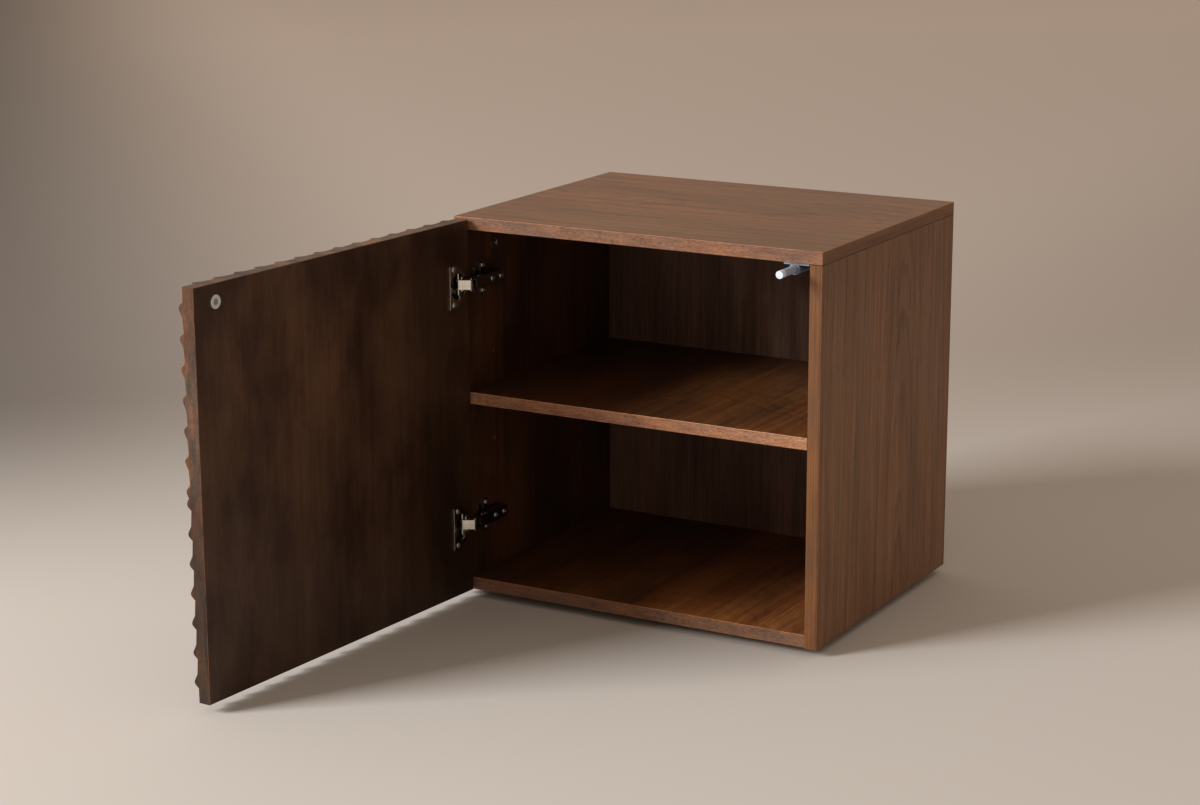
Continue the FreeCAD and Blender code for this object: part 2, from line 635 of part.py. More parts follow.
def hinge_pins():
    """Pins through the arms, and through the cups. The short link's cup pin is a pair of stubs."""
    through = rod("arm_pin", "shown_sides", "hinge_pin", "2 * (arm_half + pin_proud)",
                  "-arm_half - pin_proud")
    arm_spots = [(LEFT + " + %s_pin_across" % kind, FRONT + " + %s_pin_in" % kind, "foot_height + " + height)
                 for kind in ("outer", "inner") for height in HINGES.values()]
    let_in("hinge_arm_pins", [side + "_hinge_arm" for side in HINGES],
           [(through, spot, None) for spot in arm_spots])
    long_pin = rod("long_cup_pin", "shown_sides", "hinge_pin", "2 * long_pin_half", "-long_pin_half")
    stub = rod("stub_cup_pin", "shown_sides", "hinge_pin", "stub_end - stub_start", "stub_start")
    cup_settings = []
    for height in HINGES.values():
        for kind, item, rotation in (("outer", long_pin, None), ("inner", stub, None),
                                     ("inner", stub, turn(1, 0, 0, 180))):
            across, out = CUP_PIN[kind]
            spot = (LEFT + " + " + across, FRONT + " + " + out, "foot_height + " + height)
            cup_settings.append((item, spot, rotation))
    let_in("hinge_cup_pins", [side + "_hinge_cup" for side in HINGES], cup_settings)


# ---- door ----

def door_ridges():
    """The carved relief: straight ridges across one quarter of the face, mirrored into nested diamonds.

    Each ridge falls steeply away from the centre and gently towards it, into a shallow sloping valley.
    """
    body = new_body("ridges")
    profile = sketch(body, "ridge_profile")
    crest = "ridge_first"
    height = "-ridge_height"
    shoulder = "-(ridge_height - crest_drop)"
    start = crest + " + ridge_fall - ridge_step"
    outline(profile, [(start, "ridge_root"), (start, "0"), (crest + " - ridge_rise", "-valley_lift"),
                      (crest + " - crest_half", shoulder),
                      (crest + " - crest_half / 2", height + " + crest_drop / 4"),
                      (crest + " + crest_half / 3", height),
                      (crest + " + crest_half", shoulder), (crest + " + ridge_fall", "0"),
                      (crest + " + ridge_fall", "ridge_root")])
    first = pad(body, profile, "door_width + door_height", both=True)
    pattern = body.newObject("PartDesign::LinearPattern", "ridge_pattern")
    pattern.Originals = [first]
    pattern.Direction = (next(item for item in body.Origin.OriginFeatures if item.Role == "X_Axis"), [""])
    pattern.setExpression("Length", ref("ridge_step * (ridge_count - 1)"))
    pattern.setExpression("Occurrences", ref("ridge_count"))
    body.Tip = pattern
    place(body, "door_width / 2", "-door_board", "door_height / 2", turn(0, 1, 0, -45))
    quarter_box = primitive("Box", "quarter_box", Length="door_width / 2", Width="ridge_height + 1",
                            Height="door_height / 2")
    place(quarter_box, "door_width / 2", "-door_board - ridge_height", "door_height / 2")
    quarter = combine("Common", "ridge_quarter", quarter_box, body)
    quarters = [quarter]
    for name, source, normal in (("left_quarter", 0, V(1, 0, 0)), ("low_quarter", 0, V(0, 0, 1)),
                                 ("low_left_quarter", 1, V(0, 0, 1))):
        mirror = doc.addObject("Part::Mirroring", name)
        mirror.Source = quarters[source]
        mirror.Normal = normal
        mirror.setExpression("Base.x", ref("door_width / 2"))
        mirror.setExpression("Base.z", ref("door_height / 2"))
        quarters.append(mirror)
    return quarters


def door_panel():
    """The door board with its relief, bored from the inner face for the cups."""
    board = new_body("door_blank")
    drawing = sketch(board, "door_outline", "XZ_Plane")
    rectangle(drawing, "0", "0", "door_width", "door_height")
    blank = pad(board, drawing, "door_board")
    inner_face = next(n for n, face in enumerate(blank.Shape.Faces, 1) if abs(face.BoundBox.YMin) < TOUCH)
    ease(board, blank, ["Face%d" % inner_face])
    carved = combine("MultiFuse", "door_carved", board, *door_ridges())
    bores = []
    for side, height in HINGES.items():
        cup = primitive("Cylinder", side + "_cup_bore", Radius="cup_diameter / 2", Height="cup_depth")
        bores.append(place(cup, "cup_along", "0", height + " - door_lift", turn(1, 0, 0, 90)))
    panel = combine("Cut", "door_panel", carved, combine("MultiFuse", "door_bores", *bores))
    return keep(door_place(panel))


def door_point(along, deep):
    """The place in the table of a point of the open door, given along it and below its inner face."""
    across = "%s + (%s) * cos(open_angle) - (%s) * sin(open_angle)" % (DOOR_X, along, deep)
    back = "%s - (%s) * sin(open_angle) - (%s) * cos(open_angle)" % (DOOR_Y, along, deep)
    return across, back


def strike():
    """A steel disc that the latch pushes on."""
    body = new_body("strike_disc")
    drawing = sketch(body, "strike_outline", "XZ_Plane")
    circle(drawing, "strike_along", "0", "strike_diameter")
    pad(body, drawing, "strike_thickness", back=True)
    return keep(door_place(body, "strike_up"))


# ---- push latch ----

def latch():
    """A spring plunger in a round housing, carried by an adapter screwed under the top."""
    across = "total_width / 2 - board - (latch_across - board)"
    height = TOP_UNDERSIDE + " - latch_drop"
    along_y = turn(1, 0, 0, -90)

    adapter = new_body("latch_adapter")
    plate = sketch(adapter, "adapter_plate", "XZ_Plane")
    rectangle(plate, "latch_across - board - adapter_left", "latch_drop - adapter_thickness",
              "adapter_left - adapter_right", "adapter_thickness")
    pad(adapter, plate, "adapter_depth", back=True)
    cradle = sketch(adapter, "adapter_cradle", "XZ_Plane")
    circle(cradle, "0", "0", "cradle_diameter")
    pad(adapter, cradle, "adapter_depth", back=True)
    bore = sketch(adapter, "adapter_bore", "XZ_Plane")
    circle(bore, "0", "0", "latch_diameter")
    pocket(adapter, bore, "adapter_depth", back=False)
    keep(place(adapter, across, FRONT, height))

    housing = new_body("latch_housing")
    profile = sketch(housing, "housing_profile", "XZ_Plane")
    outline(profile, [("latch_bore / 2", "0"), ("latch_diameter / 2", "0"),
                      ("latch_diameter / 2", "latch_length"),
                      ("0", "latch_length"), ("0", "latch_length - housing_end"),
                      ("latch_bore / 2", "latch_length - housing_end")])
    revolve(housing, profile)
    keep(place(housing, across, FRONT + " - latch_proud", height, along_y))

    plunger = new_body("latch_plunger")
    tube = sketch(plunger, "plunger_profile", "XZ_Plane")
    front = "tip_length - plunger_reach"
    inner_end = front + " + plunger_end"
    outline(tube, [("plunger_bore / 2", "plunger_inside"), ("plunger_bore / 2", inner_end), ("0", inner_end),
                   ("0", front), ("plunger_diameter / 2", front), ("plunger_diameter / 2", "plunger_inside")])
    revolve(plunger, tube)
    keep(place(plunger, across, FRONT, height, along_y))

    tip = new_body("latch_tip")
    cap = sketch(tip, "tip_outline")
    circle(cap, "0", "0", "tip_diameter")
    pad(tip, cap, "tip_length")
    keep(place(tip, across, FRONT + " - plunger_reach", height, along_y))
    return across, height


# ---- the table ----

top_board()
for name in SIDES:
    side_panel(name, name.startswith("left"))
bottom_board()
back_panel()
shelf_board()
cam_locks()
cam_bolts()
dowels()
shelf_pins()
glide_spots = foot_glides()
for side, height in HINGES.items():
    mounting_plate(side + "_mounting_plate", height)
    hinge_arm(side + "_hinge_arm", height)
    outer_link(side + "_outer_link", height)
    inner_link(side + "_inner_link", height)
    hinge_cup(side + "_hinge_cup", height)
hinge_pins()
door_panel()
strike()
latch_across, latch_height = latch()

wood_screw = screw_master("wood_screw", "wood_head", "wood_head_height", "wood_shank", "wood_length")
machine_screw = screw_master(
    "machine_screw", "machine_head", "machine_head_height", "machine_shank", "machine_length")
into_side = turn(0, 1, 0, 90)
up_from_below = turn(1, 0, 0, 180)
into_door = turn(0, 0, 1, -DIMENSIONS["open_angle"]) * turn(1, 0, 0, -90)
let_in("hinge_arm_screws", [side + part for side in HINGES for part in ("_hinge_arm", "_mounting_plate")], [
    (machine_screw, (LEFT + " + arm_top", FRONT + " + " + along, "foot_height + " + height), into_side)
    for height in HINGES.values() for along in ("adjust_screw_in", "fixing_screw_in")])
let_in("foot_screws", ["foot_glides", "bottom_board"], [
    (wood_screw, spot, up_from_below) for spot in glide_spots])
let_in("mounting_plate_screws", ["left_side_panel"] + [side + "_mounting_plate" for side in HINGES], [
    (wood_screw, (LEFT + " + board + plate_thickness", FRONT + " + plate_screw_in",
                  "foot_height + %s %s plate_screw_half" % (height, sign)), into_side)
    for height in HINGES.values() for sign in ("-", "+")])
let_in("latch_screws", ["latch_adapter", "top_board"], [
    (wood_screw, (latch_across + across, FRONT + " + adapter_depth / 2",
                  TOP_UNDERSIDE + " - adapter_thickness"), up_from_below)
    for across in (" - adapter_screw_left", " + adapter_screw_right")])
let_in("hinge_cup_screws", ["door_panel"] + [side + "_hinge_cup" for side in HINGES], [
    (wood_screw, door_point("ear_along", "-flange_thickness")
     + ("foot_height + %s %s ear_half" % (height, sign),), into_door)
    for height in HINGES.values() for sign in ("-", "+")])
let_in("strike_screw", ["door_panel", "strike_disc"], [
    (wood_screw, door_point("strike_along", "wood_head_height - strike_thickness")
     + (DOOR_Z + " + strike_up",), into_door)])
doc.recompute()

os.makedirs("parts", exist_ok=True)
for item in doc.Objects:
    if "Invalid" in item.State or "Error" in item.State:
        raise RuntimeError("%s failed: %s" % (item.Label, item.State))
for node in NODES:
    if node.Shape.isNull() or not node.Shape.isValid():
        raise RuntimeError(node.Label + " has no valid shape")
    node.Shape.exportStep("parts/%s.step" % node.Label)
    box = node.Shape.BoundBox
    print("%-24s %d solids  %6.1f x %6.1f x %6.1f" % (
        node.Label, len(node.Shape.Solids), box.XLength, box.YLength, box.ZLength))
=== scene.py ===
"""A walnut-stained side table with an open, ridged door, in a plain studio.

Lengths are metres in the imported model's own frame: X to the right, Y to the back, Z up and the floor at 0.
"""

import math

import bmesh
import bpy
from mathutils import Matrix, Vector


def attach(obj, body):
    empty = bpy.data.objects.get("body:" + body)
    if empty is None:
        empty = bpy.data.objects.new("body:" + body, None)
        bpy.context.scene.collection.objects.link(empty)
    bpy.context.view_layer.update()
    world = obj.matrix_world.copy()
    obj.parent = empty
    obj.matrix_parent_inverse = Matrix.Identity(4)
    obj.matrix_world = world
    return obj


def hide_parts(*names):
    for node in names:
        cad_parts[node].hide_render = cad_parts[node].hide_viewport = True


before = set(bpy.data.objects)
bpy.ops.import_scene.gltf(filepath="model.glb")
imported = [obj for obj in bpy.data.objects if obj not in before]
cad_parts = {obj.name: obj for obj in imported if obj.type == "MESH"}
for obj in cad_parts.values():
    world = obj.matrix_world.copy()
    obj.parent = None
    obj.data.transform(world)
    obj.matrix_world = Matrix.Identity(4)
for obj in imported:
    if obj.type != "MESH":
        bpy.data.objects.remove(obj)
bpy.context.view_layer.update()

# ---------------------------------------------------------------------------
# The picture and its camera
# ---------------------------------------------------------------------------
# The image's width and the focal length are in its pixels, the sensor's width in millimetres. The camera has
# no lens shift, so that other views stay centred: its corners lie a few pixels off the picture's.
IMAGE_WIDTH = 1200
SENSOR_WIDTH = 36.0
FOCAL_PIXELS = 2655.4
CAMERA_SPOT = Vector((1.5363, -2.9495, 1.0754))
CAMERA_YAW = math.radians(29.87)
CAMERA_PITCH = math.radians(14.04)
CAMERA_ROLL = math.radians(-0.216)
CLIP_END = 300.0

# How far the door stands open at rest, the way its inner face looks, and the way from hinge to free edge
DOOR_OPEN = math.radians(93.7)
DOOR_INWARD = (math.sin(DOOR_OPEN), math.cos(DOOR_OPEN), 0.0)
DOOR_ALONG = (math.cos(DOOR_OPEN), -math.sin(DOOR_OPEN), 0.0)


# ---------------------------------------------------------------------------
# Small helpers for node trees
# ---------------------------------------------------------------------------
def new_material(name):
    """An empty node material and its tree."""
    material = bpy.data.materials.new(name)
    material.use_nodes = True
    material.node_tree.nodes.clear()
    return material, material.node_tree


def add(tree, kind, inputs=None, **settings):
    """A node with its settings and inputs: a socket is linked, anything else is set as a value."""
    node = tree.nodes.new("ShaderNode" + kind)
    for key, value in settings.items():
        setattr(node, key, value)
    for key, value in (inputs or {}).items():
        if isinstance(value, bpy.types.NodeSocket):
            tree.links.new(value, node.inputs[key])
        else:
            node.inputs[key].default_value = value
    return node


def maths(tree, operation, a, b=None, c=None, clamp=False):
    """One scalar operation."""
    node = tree.nodes.new("ShaderNodeMath")
    node.operation = operation
    node.use_clamp = clamp
    for socket, value in zip(node.inputs, (a, b, c)):
        if isinstance(value, bpy.types.NodeSocket):
            tree.links.new(value, socket)
        elif value is not None:
            socket.default_value = value
    return node.outputs[0]


def about_middle(tree, value, share, base):
    """base plus share of how far value, which runs from 0 to 1, lies from its middle."""
    return maths(tree, "MULTIPLY_ADD", maths(tree, "SUBTRACT", value, 0.5), share, base)


def step_up(tree, value, low, high):
    """0 below low, 1 above high, smooth between."""
    inputs = {0: value, 1: low, 2: high, 3: 0.0, 4: 1.0}
    return add(tree, "MapRange", inputs, interpolation_type="SMOOTHSTEP").outputs[0]


def blend_number(tree, share, a, b):
    """a where share is 0, b where it is 1."""
    return add(tree, "Mix", {0: share, 2: a, 3: b}, data_type="FLOAT").outputs[0]


def blend_colour(tree, share, a, b, mode="MIX"):
    """a where share is 0, b where it is 1, or b laid over a in another mode."""
    return add(tree, "Mix", {0: share, 6: a, 7: b}, data_type="RGBA", blend_type=mode).outputs[2]


def noise(tree, vector, scale, detail=2.0, roughness=0.5):
    """Noise from 0 to 1 along a vector."""
    inputs = {"Vector": vector, "Scale": scale, "Detail": detail, "Roughness": roughness}
    return add(tree, "TexNoise", inputs).outputs[0]


def scaled(tree, colour, factor):
    """The colour times a factor, either of which may be a socket."""
    return add(tree, "VectorMath", {0: colour, 3: factor}, operation="SCALE").outputs[0]


def streaks(tree, flat, across, along, detail=2.0, roughness=0.5, offset=0.0):
    """Noise drawn out along the grain: so many turns per metre across it and along it."""
    inputs = {"Vector": flat, "Scale": (across, along, 1.0), "Location": (offset, offset, 0.0)}
    return noise(tree, add(tree, "Mapping", inputs).outputs[0], 1.0, detail, roughness)


def finish_tree(tree, shader):
    """Joins the shader to the material's output."""
    tree.links.new(shader.outputs[0], add(tree, "OutputMaterial").inputs[0])


def rgba(red, green, blue):
    """A colour from 0-255 picture values to the linear values that shaders use."""
    def linear(x):
        x = x / 255
        return x / 12.92 if x <= 0.04045 else ((x + 0.055) / 1.055) ** 2.4
    return linear(red), linear(green), linear(blue), 1.0


def shaded(colour, factor):
    """The colour made lighter or darker."""
    return tuple(factor * part for part in colour[:3]) + (1.0,)


# ---------------------------------------------------------------------------
# Wood
# ---------------------------------------------------------------------------
# What the grain's pattern does to the stain where it is darkest and lightest, and the same for the slow
# bands of colour and for the smoky clouds
DARK_TINT, LIGHT_TINT = (0.52, 0.49, 0.46, 1.0), (1.48, 1.51, 1.54, 1.0)
RED_TINT, OLIVE_TINT = (1.03, 0.96, 0.94, 1.0), (0.97, 1.04, 1.03, 1.0)
SMOKE_TINT, CLEAR_TINT = (0.50, 0.42, 0.36, 1.0), (1.26, 1.28, 1.18, 1.0)

# The layers of noise: turns per metre across the grain and along it, detail, roughness, an offset of its own
SLOW = (4.0, 1.5, 2.0, 0.50, 0.0)
SWAY = (15.0, 4.0, 3.0, 0.50, 0.0)
FIBRE = (420.0, 6.0, 3.0, 0.66, 0.0)
HAIR = (1500.0, 45.0, 2.0, 0.60, 5.0)
PORE = (1300.0, 50.0, 2.0, 0.50, 9.0)
STREAK = (90.0, 2.2, 2.0, 0.50, 13.0)
MOTTLE = (240.0, 30.0, 2.0, 0.50, 0.0)
SPECK = (900.0, 170.0, 3.0, 0.60, 17.0)
BAND = (26.0, 1.2, 2.0, 0.50, 21.0)
DRIFT = (9.0, 3.0, 3.0, 0.55, 25.0)
HIGHLIGHT_PATCH = (60.0, 60.0, 3.0, 0.60, 29.0)
CHANGE = (45.0, 11.0, 3.0, 0.60, 33.0)
CLOUD = (10.0, 5.0, 5.0, 0.62, 41.0)

# From where to where a layer, or the slope of a face, goes from none to full
PORE_STEP = (0.58, 0.70)
PATCH_STEP = (0.30, 0.70)
BAND_STEP = (0.34, 0.66)
HIGHLIGHT_PATCH_STEP = (0.25, 0.60)
CHANGE_STEP = (0.36, 0.64)
CLOUD_STEP = (0.32, 0.64)
ARRIS_STEP = (0.80, 0.97)
RING_RISE, RING_FALL = (0.30, 0.92), (0.93, 1.00)

# A face looks along an axis if this much of its normal does: for the grain's directions, and for its colour
GRAIN_FACING, COLOUR_FACING = 0.72, 0.6

# How much each layer counts in the pattern of the broad faces
FIBRE_SHARE, HAIR_SHARE, STREAK_SHARE, PORE_SHARE = 1.45, 1.10, 0.50, 0.14
RING_LIFT = 0.2
PATCH_STREAK, FADE_DRIFT = 0.35, 0.3

# The growth rings: how far they stray in depth as a share of how far they stray aside, how much their widths
# vary, how often that changes from ring to ring, and how much they differ in weight
RING_SWAY, RING_VARIETY, RING_TURNS = 0.6, 2.4, 0.35
RING_WEIGHT, RING_MEAN_WEIGHT = 0.9, 0.55

# The narrow faces: their lines, and the weight of the lines, the fibres and the specks there
EDGE_DEPTH, EDGE_LEAN, EDGE_WANDER = 0.004, 0.03, 0.006
EDGE_LINE_SHARE, EDGE_FIBRE_SHARE, EDGE_MEAN = 0.50, 0.9, 0.62
SPECK_SHARE = 2.2

# The arrises carry a painted highlight, lighter in patches, and the joint between two boards is a dark line
ARRIS_HIGHLIGHT = 1.8
SEAM_HALF = 0.0004
SEAM_SHADE = 0.40

# The lacquer: how much duller a pore is, how much the fibres vary the gloss, and the relief under it
PORE_DULL, FIBRE_DULL = 0.10, 0.20
PORE_SINK, FIBRE_RISE = 0.8, 0.6
RELIEF_STRENGTH, RELIEF_DEPTH = 0.20, 0.00016


def board_place(tree, turn):
    """Position and normal in a board's own directions: the frame's, or turned about Z with the board."""
    pair = []
    source = add(tree, "TexCoord")
    for socket in (source.outputs["Object"], source.outputs["Normal"]):
        if turn:
            inputs = {"Vector": socket, "Angle": turn}
            socket = add(tree, "VectorRotate", inputs, rotation_type="Z_AXIS").outputs[0]
        pair.append(dict(zip("xyz", add(tree, "SeparateXYZ", {0: socket}).outputs)))
    return pair


class Grain:
    """What every layer of one board's look reads: where the spot is, which way it looks, and the grain there.

    runs names, for faces that look along X, Y and Z, the direction across the grain and the one along it.
    across and along are the spot's distances in them, flat is both as a vector, and arris is 1 on a rounded
    edge and 0 on a flat face.
    """

    def __init__(self, tree, runs, turn, shift):
        self.tree = tree
        self.place, self.facing = board_place(tree, turn)
        self.size = {axis: maths(tree, "ABSOLUTE", part) for axis, part in self.facing.items()}
        self.across = self.run(runs, 0)
        self.along = maths(tree, "ADD", self.run(runs, 1), shift)
        self.flat = add(tree, "CombineXYZ", {0: self.across, 1: self.along}).outputs[0]
        level = maths(tree, "MAXIMUM", self.size["x"], self.size["y"])
        widest = maths(tree, "MAXIMUM", level, self.size["z"])
        self.arris = maths(tree, "SUBTRACT", 1.0, step_up(tree, widest, *ARRIS_STEP))
        self.fibre = self.layer(FIBRE)
        self.hair = self.layer(HAIR)
        self.pore = step_up(tree, self.layer(PORE), *PORE_STEP)
        self.streak = self.layer(STREAK)
        self.drift = about_middle(tree, self.layer(DRIFT), 1.0, 0.5)

    def run(self, runs, which):
        """The distance across the grain (which is 0) or along it (which is 1)."""
        on_x, on_z = (maths(self.tree, "GREATER_THAN", self.size[axis], GRAIN_FACING) for axis in "xz")
        spots = {axis: self.place[runs[axis][which]] for axis in "xyz"}
        upright = blend_number(self.tree, on_x, spots["y"], spots["x"])
        return blend_number(self.tree, on_z, upright, spots["z"])

    def layer(self, numbers):
        """One layer of noise along the grain."""
        return streaks(self.tree, self.flat, *numbers)

    def looks_along(self, axes):
        """1 on the faces that look along one of one or two axes, either way."""
        widest = maths(self.tree, "MAXIMUM", self.size[axes[0]], self.size[axes[-1]])
        return maths(self.tree, "GREATER_THAN", widest, COLOUR_FACING)

    def looks_towards(self, axis, way):
        """1 on the faces that look along an axis, one way only."""
        towards = maths(self.tree, "MULTIPLY", self.facing[axis], way)
        return maths(self.tree, "GREATER_THAN", towards, COLOUR_FACING)


def rings(grain, heart, depth, lean, spacing, wander):
    """Growth rings as a flat cut shows them: arches down the heart and straight lines beside it.

    heart is where the pith lies across the board, depth how far it lies under the face, lean how much deeper
    it gets per metre, spacing the width of one ring and wander how far the lines stray. Each ring has its own
    weight.
    """
    tree = grain.tree
    aside = about_middle(tree, grain.layer(SLOW), wander, maths(tree, "SUBTRACT", grain.across, heart))
    level = maths(tree, "MULTIPLY_ADD", grain.along, lean, depth)
    under = about_middle(tree, grain.layer(SWAY), wander * RING_SWAY, level)
    square = maths(tree, "ADD", maths(tree, "MULTIPLY", aside, aside), maths(tree, "MULTIPLY", under, under))
    count = maths(tree, "DIVIDE", maths(tree, "SQRT", square), spacing)
    variety = noise(tree, add(tree, "CombineXYZ", {0: count}).outputs[0], RING_TURNS)
    count = about_middle(tree, variety, RING_VARIETY, count)
    share = maths(tree, "FRACT", count)
    ended = maths(tree, "SUBTRACT", 1.0, step_up(tree, share, *RING_FALL))
    line = maths(tree, "MULTIPLY", step_up(tree, share, *RING_RISE), ended)
    weight = add(tree, "TexWhiteNoise", {"W": maths(tree, "FLOOR", count)}, noise_dimensions="1D").outputs[0]
    return maths(tree, "MULTIPLY", line, about_middle(tree, weight, RING_WEIGHT, RING_MEAN_WEIGHT))


def face_figure(grain, ring, lines, fine):
    """The pattern of the broad faces, 0 where it is darkest and 1 where it is lightest."""
    tree = grain.tree
    figure = about_middle(tree, grain.fibre, FIBRE_SHARE * fine, 0.5)
    figure = about_middle(tree, grain.hair, HAIR_SHARE * fine, figure)
    figure = about_middle(tree, grain.streak, STREAK_SHARE * fine, figure)
    figure = maths(tree, "MULTIPLY_ADD", ring, -lines, maths(tree, "ADD", figure, lines * RING_LIFT))
    return maths(tree, "MULTIPLY_ADD", grain.pore, -PORE_SHARE, figure, clamp=True)


def face_stain(grain, tones, inner, inward, fades):
    """The slow colour of the broad faces: it drifts in patches, and the fades paint light and shade across
    the board.
    """
    tree = grain.tree
    patch = step_up(tree, about_middle(tree, grain.streak, PATCH_STREAK, grain.drift), *PATCH_STEP)
    mean = blend_colour(tree, patch, tones[1], tones[0])
    if inner:
        mean = blend_colour(tree, inward, mean, blend_colour(tree, patch, inner[1], inner[0]))
    for axis, start, end, *factors in fades:
        spot = about_middle(tree, grain.drift, FADE_DRIFT, grain.place[axis])
        amount = blend_number(tree, step_up(tree, spot, start, end), *factors)
        mean = blend_colour(tree, inward, mean, scaled(tree, mean, amount))
    return mean


def edge_stain(grain, tones, fade):
    """The colour of the narrow faces: it changes in short patches, and with height, as painted light and
    shade, if there is a fade.
    """
    tree = grain.tree
    mean = blend_colour(tree, step_up(tree, grain.layer(CHANGE), *CHANGE_STEP), tones[1], tones[0])
    if fade:
        low, high, *factors = fade
        mean = scaled(tree, mean, blend_number(tree, step_up(tree, grain.place["z"], low, high), *factors))
    return mean


def edge_figure(grain, heart, spacing):
    """The pattern of the narrow faces: lines at this spacing, or a short mottle if there is none."""
    tree = grain.tree
    if spacing:
        line = rings(grain, heart, EDGE_DEPTH, EDGE_LEAN, spacing, EDGE_WANDER)
        fibre = about_middle(tree, grain.fibre, EDGE_FIBRE_SHARE, EDGE_MEAN)
        return maths(tree, "MULTIPLY_ADD", line, -EDGE_LINE_SHARE, fibre)
    mottle = about_middle(tree, grain.layer(MOTTLE), 1.0, 0.5)
    return about_middle(tree, grain.layer(SPECK), SPECK_SHARE, mottle)


def tinted(grain, colour, bands, smoke):
    """The colour with slow red and olive bands over it, and with smoky clouds if there is smoke."""
    tree = grain.tree
    band = step_up(tree, grain.layer(BAND), *BAND_STEP)
    colour = blend_colour(tree, bands, colour, blend_colour(tree, band, RED_TINT, OLIVE_TINT), "MULTIPLY")
    if smoke:
        cloud = blend_colour(tree, step_up(tree, grain.layer(CLOUD), *CLOUD_STEP), SMOKE_TINT, CLEAR_TINT)
        colour = blend_colour(tree, smoke, colour, cloud, "MULTIPLY")
    return colour


def highlight_arrises(grain, colour, tone):
    """The colour with a painted highlight on the arrises, here and there."""
    share = maths(grain.tree, "MULTIPLY", grain.arris, step_up(grain.tree, grain.layer(HIGHLIGHT_PATCH), *HIGHLIGHT_PATCH_STEP))
    return blend_colour(grain.tree, share, colour, shaded(tone, ARRIS_HIGHLIGHT))


def seam_line(grain, colour, height, tone):
    """The colour with the dark line of a joint at this height."""
    off = maths(grain.tree, "ABSOLUTE", maths(grain.tree, "SUBTRACT", grain.place["z"], height))
    away = step_up(grain.tree, off, SEAM_HALF, SEAM_HALF * 2)
    return blend_colour(grain.tree, away, shaded(tone, SEAM_SHADE), colour)


def lacquer(grain, colour, rough):
    """Joins the colour to a satin surface that is duller and lower in the pores."""
    tree = grain.tree
    fibre_gloss = about_middle(tree, grain.fibre, FIBRE_DULL, rough)
    gloss = maths(tree, "MULTIPLY_ADD", grain.pore, PORE_DULL, fibre_gloss, clamp=True)
    relief = maths(tree, "ADD", maths(tree, "MULTIPLY", grain.fibre, FIBRE_RISE), grain.hair)
    relief = maths(tree, "MULTIPLY_ADD", grain.pore, -PORE_SINK, relief)
    bump = add(tree, "Bump", {"Height": relief, "Strength": RELIEF_STRENGTH, "Distance": RELIEF_DEPTH})
    finish_tree(tree, add(tree, "BsdfPrincipled", {
        "Base Color": colour, "Roughness": gloss, "Normal": bump.outputs[0],
        "Specular IOR Level": 0.28, "Coat Weight": 0.02, "Coat Roughness": 0.36,
    }))


def wood(name, tones, runs, heart=0.0, depth=0.06, lean=0.25, spacing=0.0085, wander=0.05,
         turn=0.0, shift=0.0, edge=None, edge_face="y", edge_lines=None, edge_fade=None,
         inner=None, inner_face="x", inner_way=1.0, fades=(), seam=None,
         lines=0.22, bands=1.0, fine=1.0, smoke=0.0, rough=0.42):
    """Stained, lacquered veneer: rings, fibres and open pores along the grain, slow bands, and a painted
    highlight on the arrises.

    tones are the light and the deep colour between which the stain drifts, edge those of the narrow faces
    that look along edge_face, which have a short mottled figure, or lines of the width edge_lines, and inner
    those of the faces that look inwards. turn is how far the board hangs turned, and shift how far its figure
    is moved along the grain. seam is the height of a joint that shows as a dark line. lines, bands, fine and
    smoke are the strength of the rings, the bands of colour, the fibres and the dark clouds over the grain.

    fades are (direction, from, to, factor, factor): how the stain changes from one side to the other, on the
    inward faces only if inner is given. edge_fade is (from, to, factor, factor): how that of the narrow faces
    changes with height. Both stand in for light in the picture that the studio's lamp doesn't give.
    """
    material, tree = new_material(name)
    grain = Grain(tree, runs, turn, shift)
    figure = face_figure(grain, rings(grain, heart, depth, lean, spacing, wander), lines, fine)
    inward = grain.looks_towards(inner_face, inner_way) if inner else 1.0
    mean = face_stain(grain, tones, inner, inward, fades)
    if edge:
        on_edge = grain.looks_along(edge_face)
        mean = blend_colour(tree, on_edge, mean, edge_stain(grain, edge, edge_fade))
        figure = blend_number(tree, on_edge, figure, edge_figure(grain, heart, edge_lines))
    colour = blend_colour(tree, 1.0, mean, blend_colour(tree, figure, DARK_TINT, LIGHT_TINT), "MULTIPLY")
    colour = highlight_arrises(grain, tinted(grain, colour, bands, smoke), (edge or tones)[0])
    if seam:
        colour = seam_line(grain, colour, seam, tones[1])
    lacquer(grain, colour, rough)
    return material


# ---------------------------------------------------------------------------
# Metal and plastic
# ---------------------------------------------------------------------------
# Turns per metre of each noise, from where to where its clouds show, and how much the gloss varies with it
POLISH_TURNS, HANDLING_TURNS = 300.0, 2700.0
POLISH_STEP, POLISH_SHADE, POLISH_VARIETY = (0.35, 0.75), 0.82, 0.22
MOULD_TURNS, TEXTURE_TURNS = 90.0, 2600.0
MOULD_STEP, TEXTURE_VARIETY = (0.3, 0.7), 0.16


def metal(name, colour, rough):
    """Plated steel with faint clouds in its polish and fine handling marks."""
    material, tree = new_material(name)
    place = add(tree, "TexCoord").outputs["Object"]
    cloud = noise(tree, place, POLISH_TURNS, 3.0)
    gloss = about_middle(tree, cloud, POLISH_VARIETY, rough)
    shade = blend_colour(tree, step_up(tree, cloud, *POLISH_STEP), colour, shaded(colour, POLISH_SHADE))
    marks = noise(tree, place, HANDLING_TURNS, 2.0)
    bump = add(tree, "Bump", {"Height": marks, "Strength": 0.10, "Distance": 0.00003})
    finish_tree(tree, add(tree, "BsdfPrincipled", {
        "Base Color": shade, "Metallic": 1.0, "Roughness": gloss, "Normal": bump.outputs[0],
    }))
    return material


